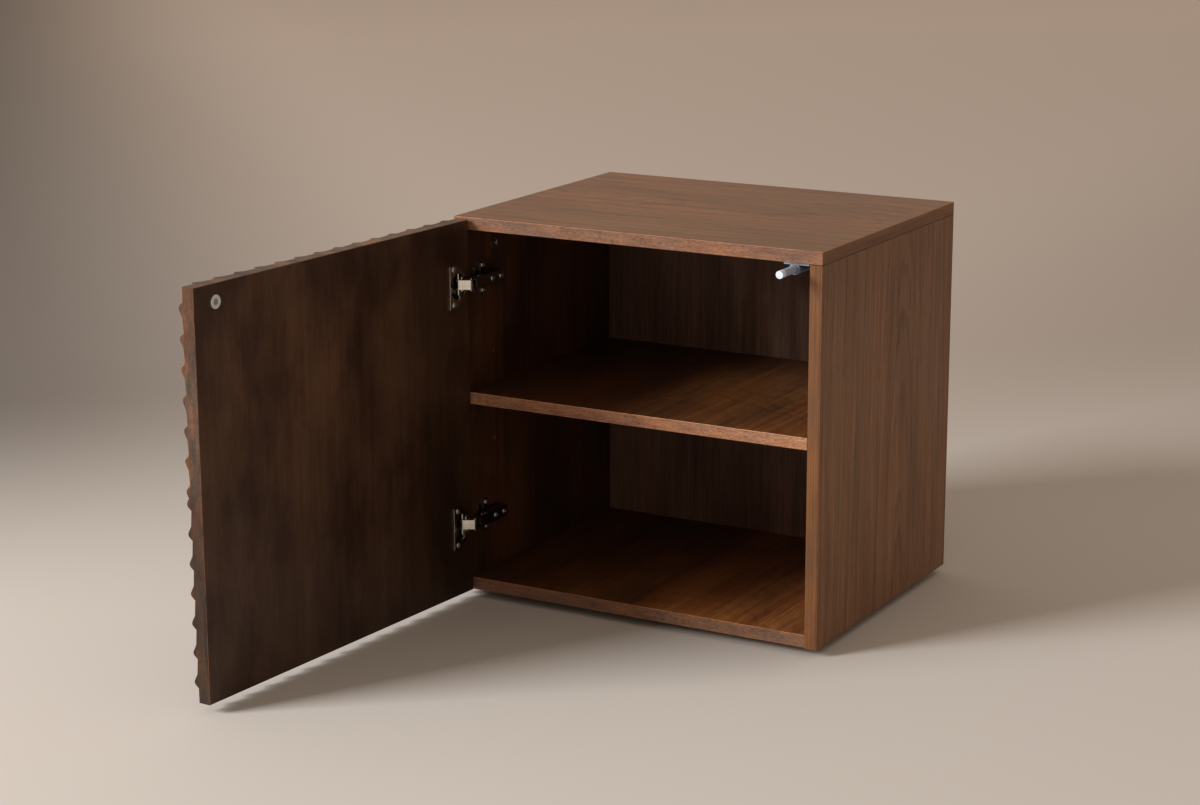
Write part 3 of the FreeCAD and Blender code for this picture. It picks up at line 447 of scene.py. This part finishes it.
def plastic(name, colour, shade, rough, through=0.0):
    """Moulded plastic with a fine texture and slightly uneven colour. through is how much light enters it."""
    material, tree = new_material(name)
    place = add(tree, "TexCoord").outputs["Object"]
    cloud = noise(tree, place, MOULD_TURNS, 3.0)
    base = blend_colour(tree, step_up(tree, cloud, *MOULD_STEP), colour, shade)
    texture = noise(tree, place, TEXTURE_TURNS, 2.0)
    gloss = about_middle(tree, texture, TEXTURE_VARIETY, rough)
    bump = add(tree, "Bump", {"Height": texture, "Strength": 0.16, "Distance": 0.00004})
    finish_tree(tree, add(tree, "BsdfPrincipled", {
        "Base Color": base, "Roughness": gloss, "Normal": bump.outputs[0],
        "Subsurface Weight": through, "Subsurface Scale": 0.002,
    }))
    return material


# ---------------------------------------------------------------------------
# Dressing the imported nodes
# ---------------------------------------------------------------------------
def dress(node, material):
    """Gives one CAD node its material."""
    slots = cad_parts[node].data.materials
    slots.clear()
    slots.append(material)


# (across the grain, along it) on faces that look along X, Y and Z
ALONG_WIDTH = {"x": "zy", "y": "zx", "z": "yx"}
ALONG_DEPTH = {"x": "zy", "y": "zx", "z": "xy"}
UPRIGHT = {"x": "yz", "y": "xz", "z": "xy"}

# Light and deep tones of each stain, as linear colours. The boards are of one veneer, and their tones differ
# by painted light and shade: the tone of the sides' inner faces and of the top's underside is darkened as
# painted shade, the shelf edge's is lightened as painted light, the front edges' is lighter partly as painted
# light, and the door's is darker partly as painted shade.
TOP = (0.188, 0.077, 0.0275, 1.0), (0.148, 0.059, 0.0213, 1.0)
SIDE = (0.200, 0.090, 0.040, 1.0), (0.155, 0.067, 0.028, 1.0)
EDGE = (0.232, 0.102, 0.050, 1.0), (0.165, 0.084, 0.054, 1.0)
LIT_SHELF_EDGE = (0.380, 0.176, 0.088, 1.0), (0.250, 0.126, 0.076, 1.0)
SIDE_EDGE = (0.175, 0.064, 0.020, 1.0), (0.130, 0.051, 0.020, 1.0)
SHELF = (0.165, 0.058, 0.016, 1.0), (0.080, 0.030, 0.012, 1.0)
SHADED_WALL = (0.085, 0.032, 0.011, 1.0), (0.030, 0.013, 0.009, 1.0)
BACK = (0.188, 0.098, 0.066, 1.0), (0.115, 0.054, 0.034, 1.0)
DOOR = (0.066, 0.031, 0.018, 1.0), (0.048, 0.022, 0.012, 1.0)
DOOR_EDGE = (0.125, 0.051, 0.022, 1.0), (0.044, 0.029, 0.022, 1.0)
BEECH = rgba(196, 160, 118), rgba(176, 140, 100)
# The height of the joint between the top board and the sides
SEAM = 0.481


def dress_boards():
    """The wooden pieces: each with its own grain direction and figure."""
    dress("top_board", wood(
        "walnut_top", TOP, ALONG_WIDTH, heart=0.02, depth=0.05, lean=0.16, shift=0.3, edge=EDGE,
        inner=SHADED_WALL, inner_face="z", inner_way=-1.0, seam=SEAM, lines=0.26, fine=1.35))
    dress("right_side_panel", wood(
        "walnut_right_side", SIDE, UPRIGHT, heart=0.04, depth=0.012, lean=0.10, spacing=0.0070, wander=0.035,
        edge=SIDE_EDGE, edge_lines=0.003, inner=SHADED_WALL, inner_way=-1.0, seam=SEAM,
        lines=0.40, bands=0.8, fine=1.25))
    dress("left_side_panel", wood(
        "walnut_left_side", SIDE, UPRIGHT, heart=-0.12, depth=0.03, lean=0.12, shift=0.7,
        edge=SIDE_EDGE, edge_lines=0.003, inner=SHADED_WALL, seam=SEAM, lines=0.20))
    dress("bottom_board", wood(
        "walnut_bottom", SHELF, ALONG_DEPTH, heart=0.06, depth=0.05, lean=0.3, shift=1.4,
        edge=EDGE, lines=0.24, fine=1.2, fades=[("x", -0.20, 0.22, 0.65, 2.2)]))
    dress("shelf_board", wood(
        "walnut_shelf", SHELF, ALONG_DEPTH, heart=0.02, depth=0.05, lean=0.3, shift=2.3,
        edge=LIT_SHELF_EDGE, lines=0.24, fine=1.2, fades=[("x", -0.20, 0.06, 0.60, 1.15)]))
    dress("back_panel", wood(
        "walnut_back", SIDE, UPRIGHT, heart=0.4, depth=0.1, lean=0.1, spacing=0.006, shift=3.1,
        inner=BACK, inner_face="y", inner_way=-1.0, lines=0.14, fades=[("x", -0.05, 0.24, 0.80, 3.8)]))
    dress("door_panel", wood(
        "walnut_door", DOOR, UPRIGHT, heart=0.42, depth=0.06, lean=0.12, shift=4.2, turn=DOOR_OPEN,
        edge=DOOR_EDGE, edge_face="xz", edge_fade=(0.06, 0.34, 0.42, 1.1),
        lines=0.05, bands=0.30, fine=0.55, smoke=1.0, rough=0.40,
        fades=[("x", 0.24, 0.60, 0.72, 1.15), ("z", 0.0, 0.42, 0.72, 1.06)]))
    dress("dowels", wood("beech_dowel", BEECH, ALONG_WIDTH, spacing=0.002))


NICKEL = rgba(232, 225, 214)
# Nickel darkened as painted shade, for the hinges' cups, plates and arms
SHADED_NICKEL = shaded(NICKEL, 0.40)
STRIKE_STEEL = (0.95, 0.98, 1.0, 1.0)
ZINC = rgba(186, 187, 188)
# Zinc darkened as painted shade, for the cams
SHADED_ZINC = shaded(ZINC, 0.45)
SHADED_PLATED_NODES = ["upper_mounting_plate", "lower_mounting_plate", "upper_hinge_arm", "lower_hinge_arm",
                     "upper_hinge_cup", "lower_hinge_cup"]
PLATED_NODES = ["hinge_arm_pins", "hinge_cup_pins", "upper_outer_link", "lower_outer_link",
                "upper_inner_link", "lower_inner_link"]
SOFT_ANGLE = math.radians(32)
WELD_GAP = 2e-6


def round_off(piece, width):
    """Rounds a piece's arrises a little, with even shading on its flat faces."""
    bevel = piece.modifiers.new("arris", "BEVEL")
    bevel.width = width
    bevel.segments = 2
    bevel.limit_method = "ANGLE"
    bevel.angle_limit = SOFT_ANGLE
    bevel.use_clamp_overlap = True
    piece.modifiers.new("shading", "WEIGHTED_NORMAL")


def soften(node, width):
    """Shades a node's curved faces smoothly and rounds its arrises a little."""
    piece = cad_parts[node]
    mesh = piece.data
    mesh.polygons.foreach_set("use_smooth", [True] * len(mesh.polygons))
    if "custom_normal" in mesh.attributes:
        mesh.attributes.remove(mesh.attributes["custom_normal"])
    weld = piece.modifiers.new("weld", "WELD")
    weld.merge_threshold = WELD_GAP
    round_off(piece, width)


def dress_fittings(nickel, shaded_nickel, zinc):
    """Hinges, fasteners, latch and feet: (nodes, finish, how wide their arrises are rounded)."""
    strike = metal("strike_steel", STRIKE_STEEL, rough=0.42)
    grey = plastic("latch_grey", rgba(124, 134, 153), rgba(108, 118, 136), rough=0.38)
    pale = plastic("plunger_grey", rgba(158, 170, 190), rgba(142, 154, 174), rough=0.34)
    white = plastic("tip_white", rgba(212, 221, 233), rgba(196, 206, 220), rough=0.32, through=0.15)
    dark = plastic("glide_dark", rgba(46, 40, 36), rgba(34, 30, 28), rough=0.55)
    rows = [
        (SHADED_PLATED_NODES, shaded_nickel, 0.00018),
        (PLATED_NODES, nickel, 0.00018),
        (["strike_disc"], strike, 0.00018),
        (["cam_bolts", "shelf_pins"], zinc, 0.0002),
        (["latch_adapter", "latch_housing"], grey, 0.0003),
        (["latch_plunger"], pale, 0.0003),
        (["latch_tip"], white, 0.0009),
        (["foot_glides"], dark, 0.0006),
    ]
    for nodes, finish, arris in rows:
        for node in nodes:
            dress(node, finish)
            soften(node, arris)


# ---------------------------------------------------------------------------
# Screws and cams with their driver recesses
# ---------------------------------------------------------------------------
HEAD_SIDES = 40
# How far each head is turned from the one before
ROLL_STEP = math.radians(37)
# Corners nearer than this are one corner
SAME_SPOT = 1e-6
# The cross recess starts above the head, narrows to this share of its width and goes this far down the head
CROSS_ABOVE, CROSS_TAPER, CROSS_DEPTH = 0.0005, 0.42, 0.85
# The cross's arm and its half width, as shares of the head's radius
PAN_CROSS, FLAT_CROSS, CAM_CROSS = (0.56, 0.13), (0.58, 0.14), (0.58, 0.13)
# A head's rim ends at this share of its radius, and a flat head's at this share of its height
RIM_SHARE, FLAT_RIM = 0.97, 0.12
# A cam's dish ends and its rim starts and ends at these shares of its radius
DISH_SHARE, CAM_RIM = 0.78, (0.84, 0.96)
CAM_DISH, CAM_CHAMFER, CAM_CROSS_DEPTH = 0.0006, 0.0003, 0.0048
# A screw ends in a cone as high as its radius, with this share of the radius left at the blunt tip
TIP_SHARE, TIP_HEIGHT = 0.35, 0.0001
# A pan head's outline down to its rim, in shares of its radius and its height
DOME = [(0.0, 0.0), (0.30, -0.02), (0.55, -0.10), (0.76, -0.26), (0.91, -0.50), (0.985, -0.76), (1.0, -0.92)]


def mesh_from(form, name):
    """Writes a form into a new mesh and lets the form go."""
    mesh = bpy.data.meshes.new(name)
    form.to_mesh(mesh)
    form.free()
    return mesh


def new_piece(name, data):
    """An object that shows a mesh, a lamp or a camera, in the scene."""
    piece = bpy.data.objects.new(name, data)
    bpy.context.scene.collection.objects.link(piece)
    return piece


def lathe(profile):
    """A closed solid turned about Z from (radius, height) points that start and end on the axis."""
    form = bmesh.new()
    turns = [2 * math.pi * n / HEAD_SIDES for n in range(HEAD_SIDES)]
    top, low = (form.verts.new((0.0, 0.0, profile[n][1])) for n in (0, -1))
    loops = [[form.verts.new((r * math.cos(t), r * math.sin(t), z)) for t in turns] for r, z in profile[1:-1]]
    for n in range(HEAD_SIDES):
        m = (n + 1) % HEAD_SIDES
        form.faces.new((top, loops[0][n], loops[0][m]))
        for a, b in zip(loops, loops[1:]):
            form.faces.new((a[n], b[n], b[m], a[m]))
        form.faces.new((low, loops[-1][m], loops[-1][n]))
    bmesh.ops.recalc_face_normals(form, faces=form.faces)
    return mesh_from(form, "turned")


def loft(form, first, last):
    """Adds a closed solid between two outlines with the same number of points."""
    loops = [[form.verts.new(spot) for spot in outline] for outline in (first, last)]
    for n in range(len(first)):
        m = (n + 1) % len(first)
        form.faces.new((loops[0][n], loops[0][m], loops[1][m], loops[1][n]))
    form.faces.new(loops[0])
    form.faces.new(loops[1][::-1])


def cross_tool(radius, shares, low):
    """A tapered cross to be cut out of a head of this radius, from just above the head down to low."""
    arm, half = (radius * share for share in shares)
    quarter = [(half, half), (half, arm), (-half, arm)]
    outline = []
    for n in range(4):
        c, s = round(math.cos(n * math.pi / 2)), round(math.sin(n * math.pi / 2))
        outline += [(c * x - s * y, s * x + c * y) for x, y in quarter]
    form = bmesh.new()
    mouth = [(x, y, CROSS_ABOVE) for x, y in outline]
    loft(form, mouth, [(CROSS_TAPER * x, CROSS_TAPER * y, low) for x, y in outline])
    bmesh.ops.recalc_face_normals(form, faces=form.faces)
    return mesh_from(form, "cross")


def cut(mesh, tool):
    """The mesh less the tool."""
    body, knife = new_piece("body", mesh), new_piece("knife", tool)
    less = body.modifiers.new("recess", "BOOLEAN")
    less.operation, less.solver, less.object = "DIFFERENCE", "EXACT", knife
    result = bpy.data.meshes.new_from_object(body.evaluated_get(bpy.context.evaluated_depsgraph_get()))
    for piece in (body, knife):
        bpy.data.objects.remove(piece)
    return result


def loose_parts(form):
    """The places of the corners of each part of a form that hangs together."""
    left = set(form.verts)
    while left:
        heap = [left.pop()]
        part = []
        while heap:
            spot = heap.pop()
            part.append(spot.co.copy())
            near = {line.other_vert(spot) for line in spot.link_edges} & left
            left -= near
            heap += near
        yield part


def seats(node, way):
    """Where each loose part of a node has its head: (middle of the head's top, length along way)."""
    form = bmesh.new()
    form.from_mesh(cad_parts[node].data)
    bmesh.ops.remove_doubles(form, verts=form.verts, dist=SAME_SPOT)
    way = Vector(way)
    side = way.orthogonal().normalized()
    third = way.cross(side)
    found = []
    for part in loose_parts(form):
        spans = [[spot.dot(axis) for spot in part] for axis in (way, side, third)]
        low, top = min(spans[0]), max(spans[0])
        side_middle, third_middle = ((min(span) + max(span)) / 2 for span in spans[1:])
        found.append((way * top + side * side_middle + third * third_middle, top - low))
    form.free()
    return sorted(found, key=lambda seat: tuple(round(part, 5) for part in seat[0]))


def screw_end(shank, length):
    """The outline of a screw's end, down to its tip."""
    return [(shank, -length + shank), (shank * TIP_SHARE, -length + TIP_HEIGHT), (0.0, -length)]


def pan_head(radius, height, shank, length):
    """A domed screw, its head's top at 0, with a cross recess."""
    profile = [(radius * r, height * z) for r, z in DOME] + [(radius * RIM_SHARE, -height), (shank, -height)]
    tool = cross_tool(radius, PAN_CROSS, -height * CROSS_DEPTH)
    return cut(lathe(profile + screw_end(shank, length)), tool)


def flat_head(radius, height, shank, length):
    """A countersunk screw, its head's top at 0, with a cross recess."""
    profile = [(0.0, 0.0), (radius * RIM_SHARE, 0.0), (radius, -height * FLAT_RIM), (shank, -height)]
    tool = cross_tool(radius, FLAT_CROSS, -height * CROSS_DEPTH)
    return cut(lathe(profile + screw_end(shank, length)), tool)


def cam_head(radius, length):
    """A cam lock's barrel, its face at 0, with a raised rim round a shallow dish and a cross recess."""
    profile = [(0.0, -CAM_DISH), (radius * DISH_SHARE, -CAM_DISH)]
    profile += [(radius * share, 0.0) for share in CAM_RIM]
    profile += [(radius, -CAM_CHAMFER), (radius, -length), (0.0, -length)]
    return cut(lathe(profile), cross_tool(radius, CAM_CROSS, -CAM_CROSS_DEPTH))


def place_heads(name, make, node, body, ways, finish, sizes):
    """One piece of detailed heads that stands for a CAD node, one head on each of its parts."""
    form = bmesh.new()
    for way in ways:
        turn = Vector(way).to_track_quat("Z", "Y").to_matrix().to_4x4()
        for count, (top, length) in enumerate(seats(node, way)):
            if len(ways) > 1 and not faces_way(top, way):
                continue
            head = make(*sizes, length)
            head.transform(Matrix.Translation(top) @ turn @ Matrix.Rotation(count * ROLL_STEP, 4, "Z"))
            form.from_mesh(head)
            bpy.data.meshes.remove(head)
    mesh = mesh_from(form, name)
    mesh.polygons.foreach_set("use_smooth", [True] * len(mesh.polygons))
    mesh.set_sharp_from_angle(angle=SOFT_ANGLE)
    mesh.materials.clear()
    mesh.materials.append(finish)
    piece = new_piece(name, mesh)
    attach(piece, body)
    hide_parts(node)


RIGHT, LEFT, DOWN = (1.0, 0.0, 0.0), (-1.0, 0.0, 0.0), (0.0, 0.0, -1.0)
# Cams above this height are in the sides, and those below it are under the bottom board
CAM_HIGH = 0.2
# (radius, height, shank's radius) of a head, and a cam's radius
PAN, SMALL_PAN = (0.0038, 0.0018, 0.0016), (0.0035, 0.0018, 0.0015)
CAM_RADIUS = 0.0075


def faces_way(top, way):
    """Whether a cam at top opens that way: the high ones open inwards and the low ones down."""
    if top[2] < CAM_HIGH:
        return way == DOWN
    return way == (RIGHT if top[0] < 0 else LEFT)


def fasteners(zinc, shaded_zinc):
    """Every visible screw and cam: (piece, form, CAD node, body, ways it faces, finish, head's sizes)."""
    rows = [
        ("plate_screws", pan_head, "mounting_plate_screws", "carcass", [RIGHT], zinc, PAN),
        ("arm_screws", pan_head, "hinge_arm_screws", "carcass", [RIGHT], zinc, PAN),
        ("latch_fixing_screws", pan_head, "latch_screws", "carcass", [DOWN], zinc, SMALL_PAN),
        ("glide_screws", pan_head, "foot_screws", "carcass", [DOWN], zinc, SMALL_PAN),
        ("cup_screws", pan_head, "hinge_cup_screws", "door", [DOOR_INWARD], zinc, PAN),
        ("strike_fixing_screw", flat_head, "strike_screw", "door", [DOOR_INWARD], zinc, PAN),
        ("cams", cam_head, "cam_locks", "carcass", [DOWN, RIGHT, LEFT], shaded_zinc, (CAM_RADIUS,)),
    ]
    for name, make, node, body, ways, finish, sizes in rows:
        place_heads(name, make, node, body, ways, finish, sizes)


# ---------------------------------------------------------------------------
# The squared flange plate on each hinge cup
# ---------------------------------------------------------------------------
# The cup screws' tops, from the cup's middle on the door's inner face: towards the free edge, and off it
SCREW_LINE = 0.0095
SCREW_TOP = 0.0028
# The radius of the cup's mouth, which the plate leaves open, and how many sides that arc has
CUP_MOUTH = 0.0167
MOUTH_STEPS = 24
# How far along the door the plate starts and ends, from the cup's middle, and half its height
PLATE_NEAR, PLATE_FAR = 0.0020, 0.0184
PLATE_HALF = 0.0275
PLATE_THICK = 0.0012
# The lip along the plate's far edge
LIP_THICK = 0.0019
LIP_WIDTH = 0.0011
FLANGE_ARRIS = 0.0002


def cup_middles():
    """The middle of the lower and the upper cup on the door's inner face, from the two screws beside each."""
    tops = sorted((top for top, _ in seats("hinge_cup_screws", DOOR_INWARD)), key=lambda top: top[2])
    back = Vector(DOOR_ALONG) * SCREW_LINE + Vector(DOOR_INWARD) * SCREW_TOP
    return [(tops[n] + tops[n + 1]) / 2 - back for n in (0, 2)]


def slab(form, middle, outline, height):
    """Adds a closed slab on the door's inner face: its outline is in (along the door, up) about middle."""
    low = [middle + Vector(DOOR_ALONG) * along + Vector((0, 0, up)) for along, up in outline]
    loft(form, low, [spot + Vector(DOOR_INWARD) * height for spot in low])


def flange_plate(name, middle, dark, bright):
    """A pressed plate with straight sides round the cup's mouth, in nickel darkened as painted shade, and a
    bright turned lip of plain nickel on its far edge.
    """
    reach = math.acos(PLATE_NEAR / CUP_MOUTH)
    turns = [reach * (1 - 2 * n / MOUTH_STEPS) for n in range(MOUTH_STEPS + 1)]
    mouth = [(CUP_MOUTH * math.cos(t), CUP_MOUTH * math.sin(t)) for t in turns]
    edge = PLATE_FAR - LIP_WIDTH
    outer = [(PLATE_NEAR, -PLATE_HALF), (edge, -PLATE_HALF), (edge, PLATE_HALF), (PLATE_NEAR, PLATE_HALF)]
    lip = [(edge, -PLATE_HALF), (PLATE_FAR, -PLATE_HALF), (PLATE_FAR, PLATE_HALF), (edge, PLATE_HALF)]
    form = bmesh.new()
    slab(form, middle, outer + mouth, PLATE_THICK)
    plate_faces = len(form.faces)
    slab(form, middle, lip, LIP_THICK)
    for n, face in enumerate(form.faces):
        face.material_index = int(n >= plate_faces)
    bmesh.ops.recalc_face_normals(form, faces=form.faces)
    mesh = mesh_from(form, name)
    mesh.materials.append(dark)
    mesh.materials.append(bright)
    piece = new_piece(name, mesh)
    round_off(piece, FLANGE_ARRIS)
    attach(piece, "door")


# ---------------------------------------------------------------------------
# Studio
# ---------------------------------------------------------------------------
FLOOR_RADIUS = 120.0
FLOOR_SIDES = 96
FLOOR_NEAR = (0.585, 0.525, 0.475, 1.0)
FLOOR_FAR = (0.540, 0.452, 0.390, 1.0)
FLOOR_ROUGH = 0.85
# The floor's colour holds the picture's fall of light. It changes along the ground in the direction BEYOND,
# which leads away behind the table on the left, in ASIDE, roughly at right angles to it, and along X: from
# where to where in metres, and the factors on either side.
BEYOND, ASIDE = (-0.68, 0.73), (0.73, 0.68)
BEHIND_STEP = (0.0, 1.3)
LEFT_STEP, LEFT_FACTORS = (-1.10, 0.25), (0.34, 1.20)
RIGHT_STEP, RIGHT_FACTORS = (-0.90, 0.20), (1.0, 0.82)
# The far floor gets lighter with distance: its factor at 0, the rise per metre and the most it comes to
FAR_START, FAR_RISE, FAR_MOST = 0.72, 0.050, 1.05
CLOUD_TURNS, CLOUD_SHADES = 1.3, (0.98, 1.02)
WEAVE_TURNS, WEAVE_STRENGTH, WEAVE_DEPTH = 900.0, 0.05, 0.0002
KEY_SPOT = Vector((-3.87, -5.01, 3.16))
KEY_AIM = (0, 0, 0.2)
KEY_SIZE = 2.3
KEY_POWER = 600.0
KEY_COLOUR = (0.94, 0.98, 1.0)
AIR_COLOUR = (0.47, 0.40, 0.335, 1.0)
AIR_STRENGTH = 1.0


def floor_colour(tree, place):
    """The paper's colour: even near the table, and beyond it falling into shade on the left."""
    x, y, _ = add(tree, "SeparateXYZ", {0: place}).outputs
    beyond, aside = (maths(tree, "MULTIPLY_ADD", y, way[1], maths(tree, "MULTIPLY", x, way[0]))
                     for way in (BEYOND, ASIDE))
    left = blend_number(tree, step_up(tree, aside, *LEFT_STEP), *LEFT_FACTORS)
    back = maths(tree, "MINIMUM", maths(tree, "MULTIPLY_ADD", beyond, FAR_RISE, FAR_START), FAR_MOST)
    right = blend_number(tree, step_up(tree, x, *RIGHT_STEP), *RIGHT_FACTORS)
    factor = maths(tree, "MULTIPLY", maths(tree, "MULTIPLY", left, back), right)
    cloud = noise(tree, place, CLOUD_TURNS, 3.0)
    near = blend_colour(tree, cloud, *(shaded(FLOOR_NEAR, shade) for shade in CLOUD_SHADES))
    return blend_colour(tree, step_up(tree, beyond, *BEHIND_STEP), near, scaled(tree, FLOOR_FAR[:3], factor))


def floor():
    """A flat disc of pale paper under the table, wide enough that no view shows its rim."""
    mesh = bpy.data.meshes.new("floor")
    turn = 2 * math.pi / FLOOR_SIDES
    turns = [n * turn for n in range(FLOOR_SIDES)]
    rim = [(FLOOR_RADIUS * math.cos(t), FLOOR_RADIUS * math.sin(t), 0.0) for t in turns]
    mesh.from_pydata(rim, [], [list(range(FLOOR_SIDES))])
    piece = new_piece("floor", mesh)
    material, tree = new_material("floor_paper")
    place = add(tree, "TexCoord").outputs["Object"]
    weave = noise(tree, place, WEAVE_TURNS, 2.0)
    bump = add(tree, "Bump", {"Height": weave, "Strength": WEAVE_STRENGTH, "Distance": WEAVE_DEPTH})
    finish_tree(tree, add(tree, "BsdfPrincipled", {
        "Base Color": floor_colour(tree, place), "Roughness": FLOOR_ROUGH, "Specular IOR Level": 0.2,
        "Normal": bump.outputs[0],
    }))
    mesh.materials.append(material)


def lamp(name, spot, aim, size, power, colour):
    """A square soft box at spot, turned to aim."""
    light = bpy.data.lights.new(name, "AREA")
    light.shape = "SQUARE"
    light.size = size
    light.energy = power
    light.color = colour
    piece = new_piece(name, light)
    piece.location = spot
    piece.rotation_mode = "QUATERNION"
    piece.rotation_quaternion = (Vector(aim) - spot).to_track_quat("-Z", "Y")
    piece.visible_camera = False


def air():
    """Even warm light from all round."""
    world = bpy.data.worlds.new("studio_air")
    bpy.context.scene.world = world
    world.use_nodes = True
    back = world.node_tree.nodes["Background"]
    back.inputs[0].default_value = AIR_COLOUR
    back.inputs[1].default_value = AIR_STRENGTH


def camera():
    """The camera that shows the table about as the picture does."""
    ahead_level = Vector((-math.sin(CAMERA_YAW), math.cos(CAMERA_YAW), 0))
    right_level = Vector((math.cos(CAMERA_YAW), math.sin(CAMERA_YAW), 0))
    upright = Vector((0, 0, 1))
    ahead = ahead_level * math.cos(CAMERA_PITCH) - upright * math.sin(CAMERA_PITCH)
    above = upright * math.cos(CAMERA_PITCH) + ahead_level * math.sin(CAMERA_PITCH)
    right = right_level * math.cos(CAMERA_ROLL) + above * math.sin(CAMERA_ROLL)
    up = -right_level * math.sin(CAMERA_ROLL) + above * math.cos(CAMERA_ROLL)
    data = bpy.data.cameras.new("camera")
    data.sensor_width = SENSOR_WIDTH
    data.lens = FOCAL_PIXELS / IMAGE_WIDTH * SENSOR_WIDTH
    data.clip_end = CLIP_END
    piece = new_piece("camera", data)
    turn = Matrix((right, up, -ahead)).transposed()
    piece.matrix_world = Matrix.Translation(CAMERA_SPOT) @ turn.to_4x4()
    bpy.context.scene.camera = piece


dress_boards()
nickel_plate = metal("nickel_plate", NICKEL, rough=0.24)
shaded_nickel_plate = metal("shaded_nickel_plate", SHADED_NICKEL, rough=0.17)
zinc_plate = metal("zinc_plate", ZINC, rough=0.36)
shaded_zinc_plate = metal("shaded_zinc_plate", SHADED_ZINC, rough=0.40)
dress_fittings(nickel_plate, shaded_nickel_plate, zinc_plate)
fasteners(zinc_plate, shaded_zinc_plate)
for flange_name, cup_middle in zip(("lower_cup_flange", "upper_cup_flange"), cup_middles()):
    flange_plate(flange_name, cup_middle, shaded_nickel_plate, nickel_plate)
floor()
lamp("key", KEY_SPOT, KEY_AIM, KEY_SIZE, KEY_POWER, KEY_COLOUR)
air()
camera()
bpy.context.scene.view_settings.view_transform = "Standard"
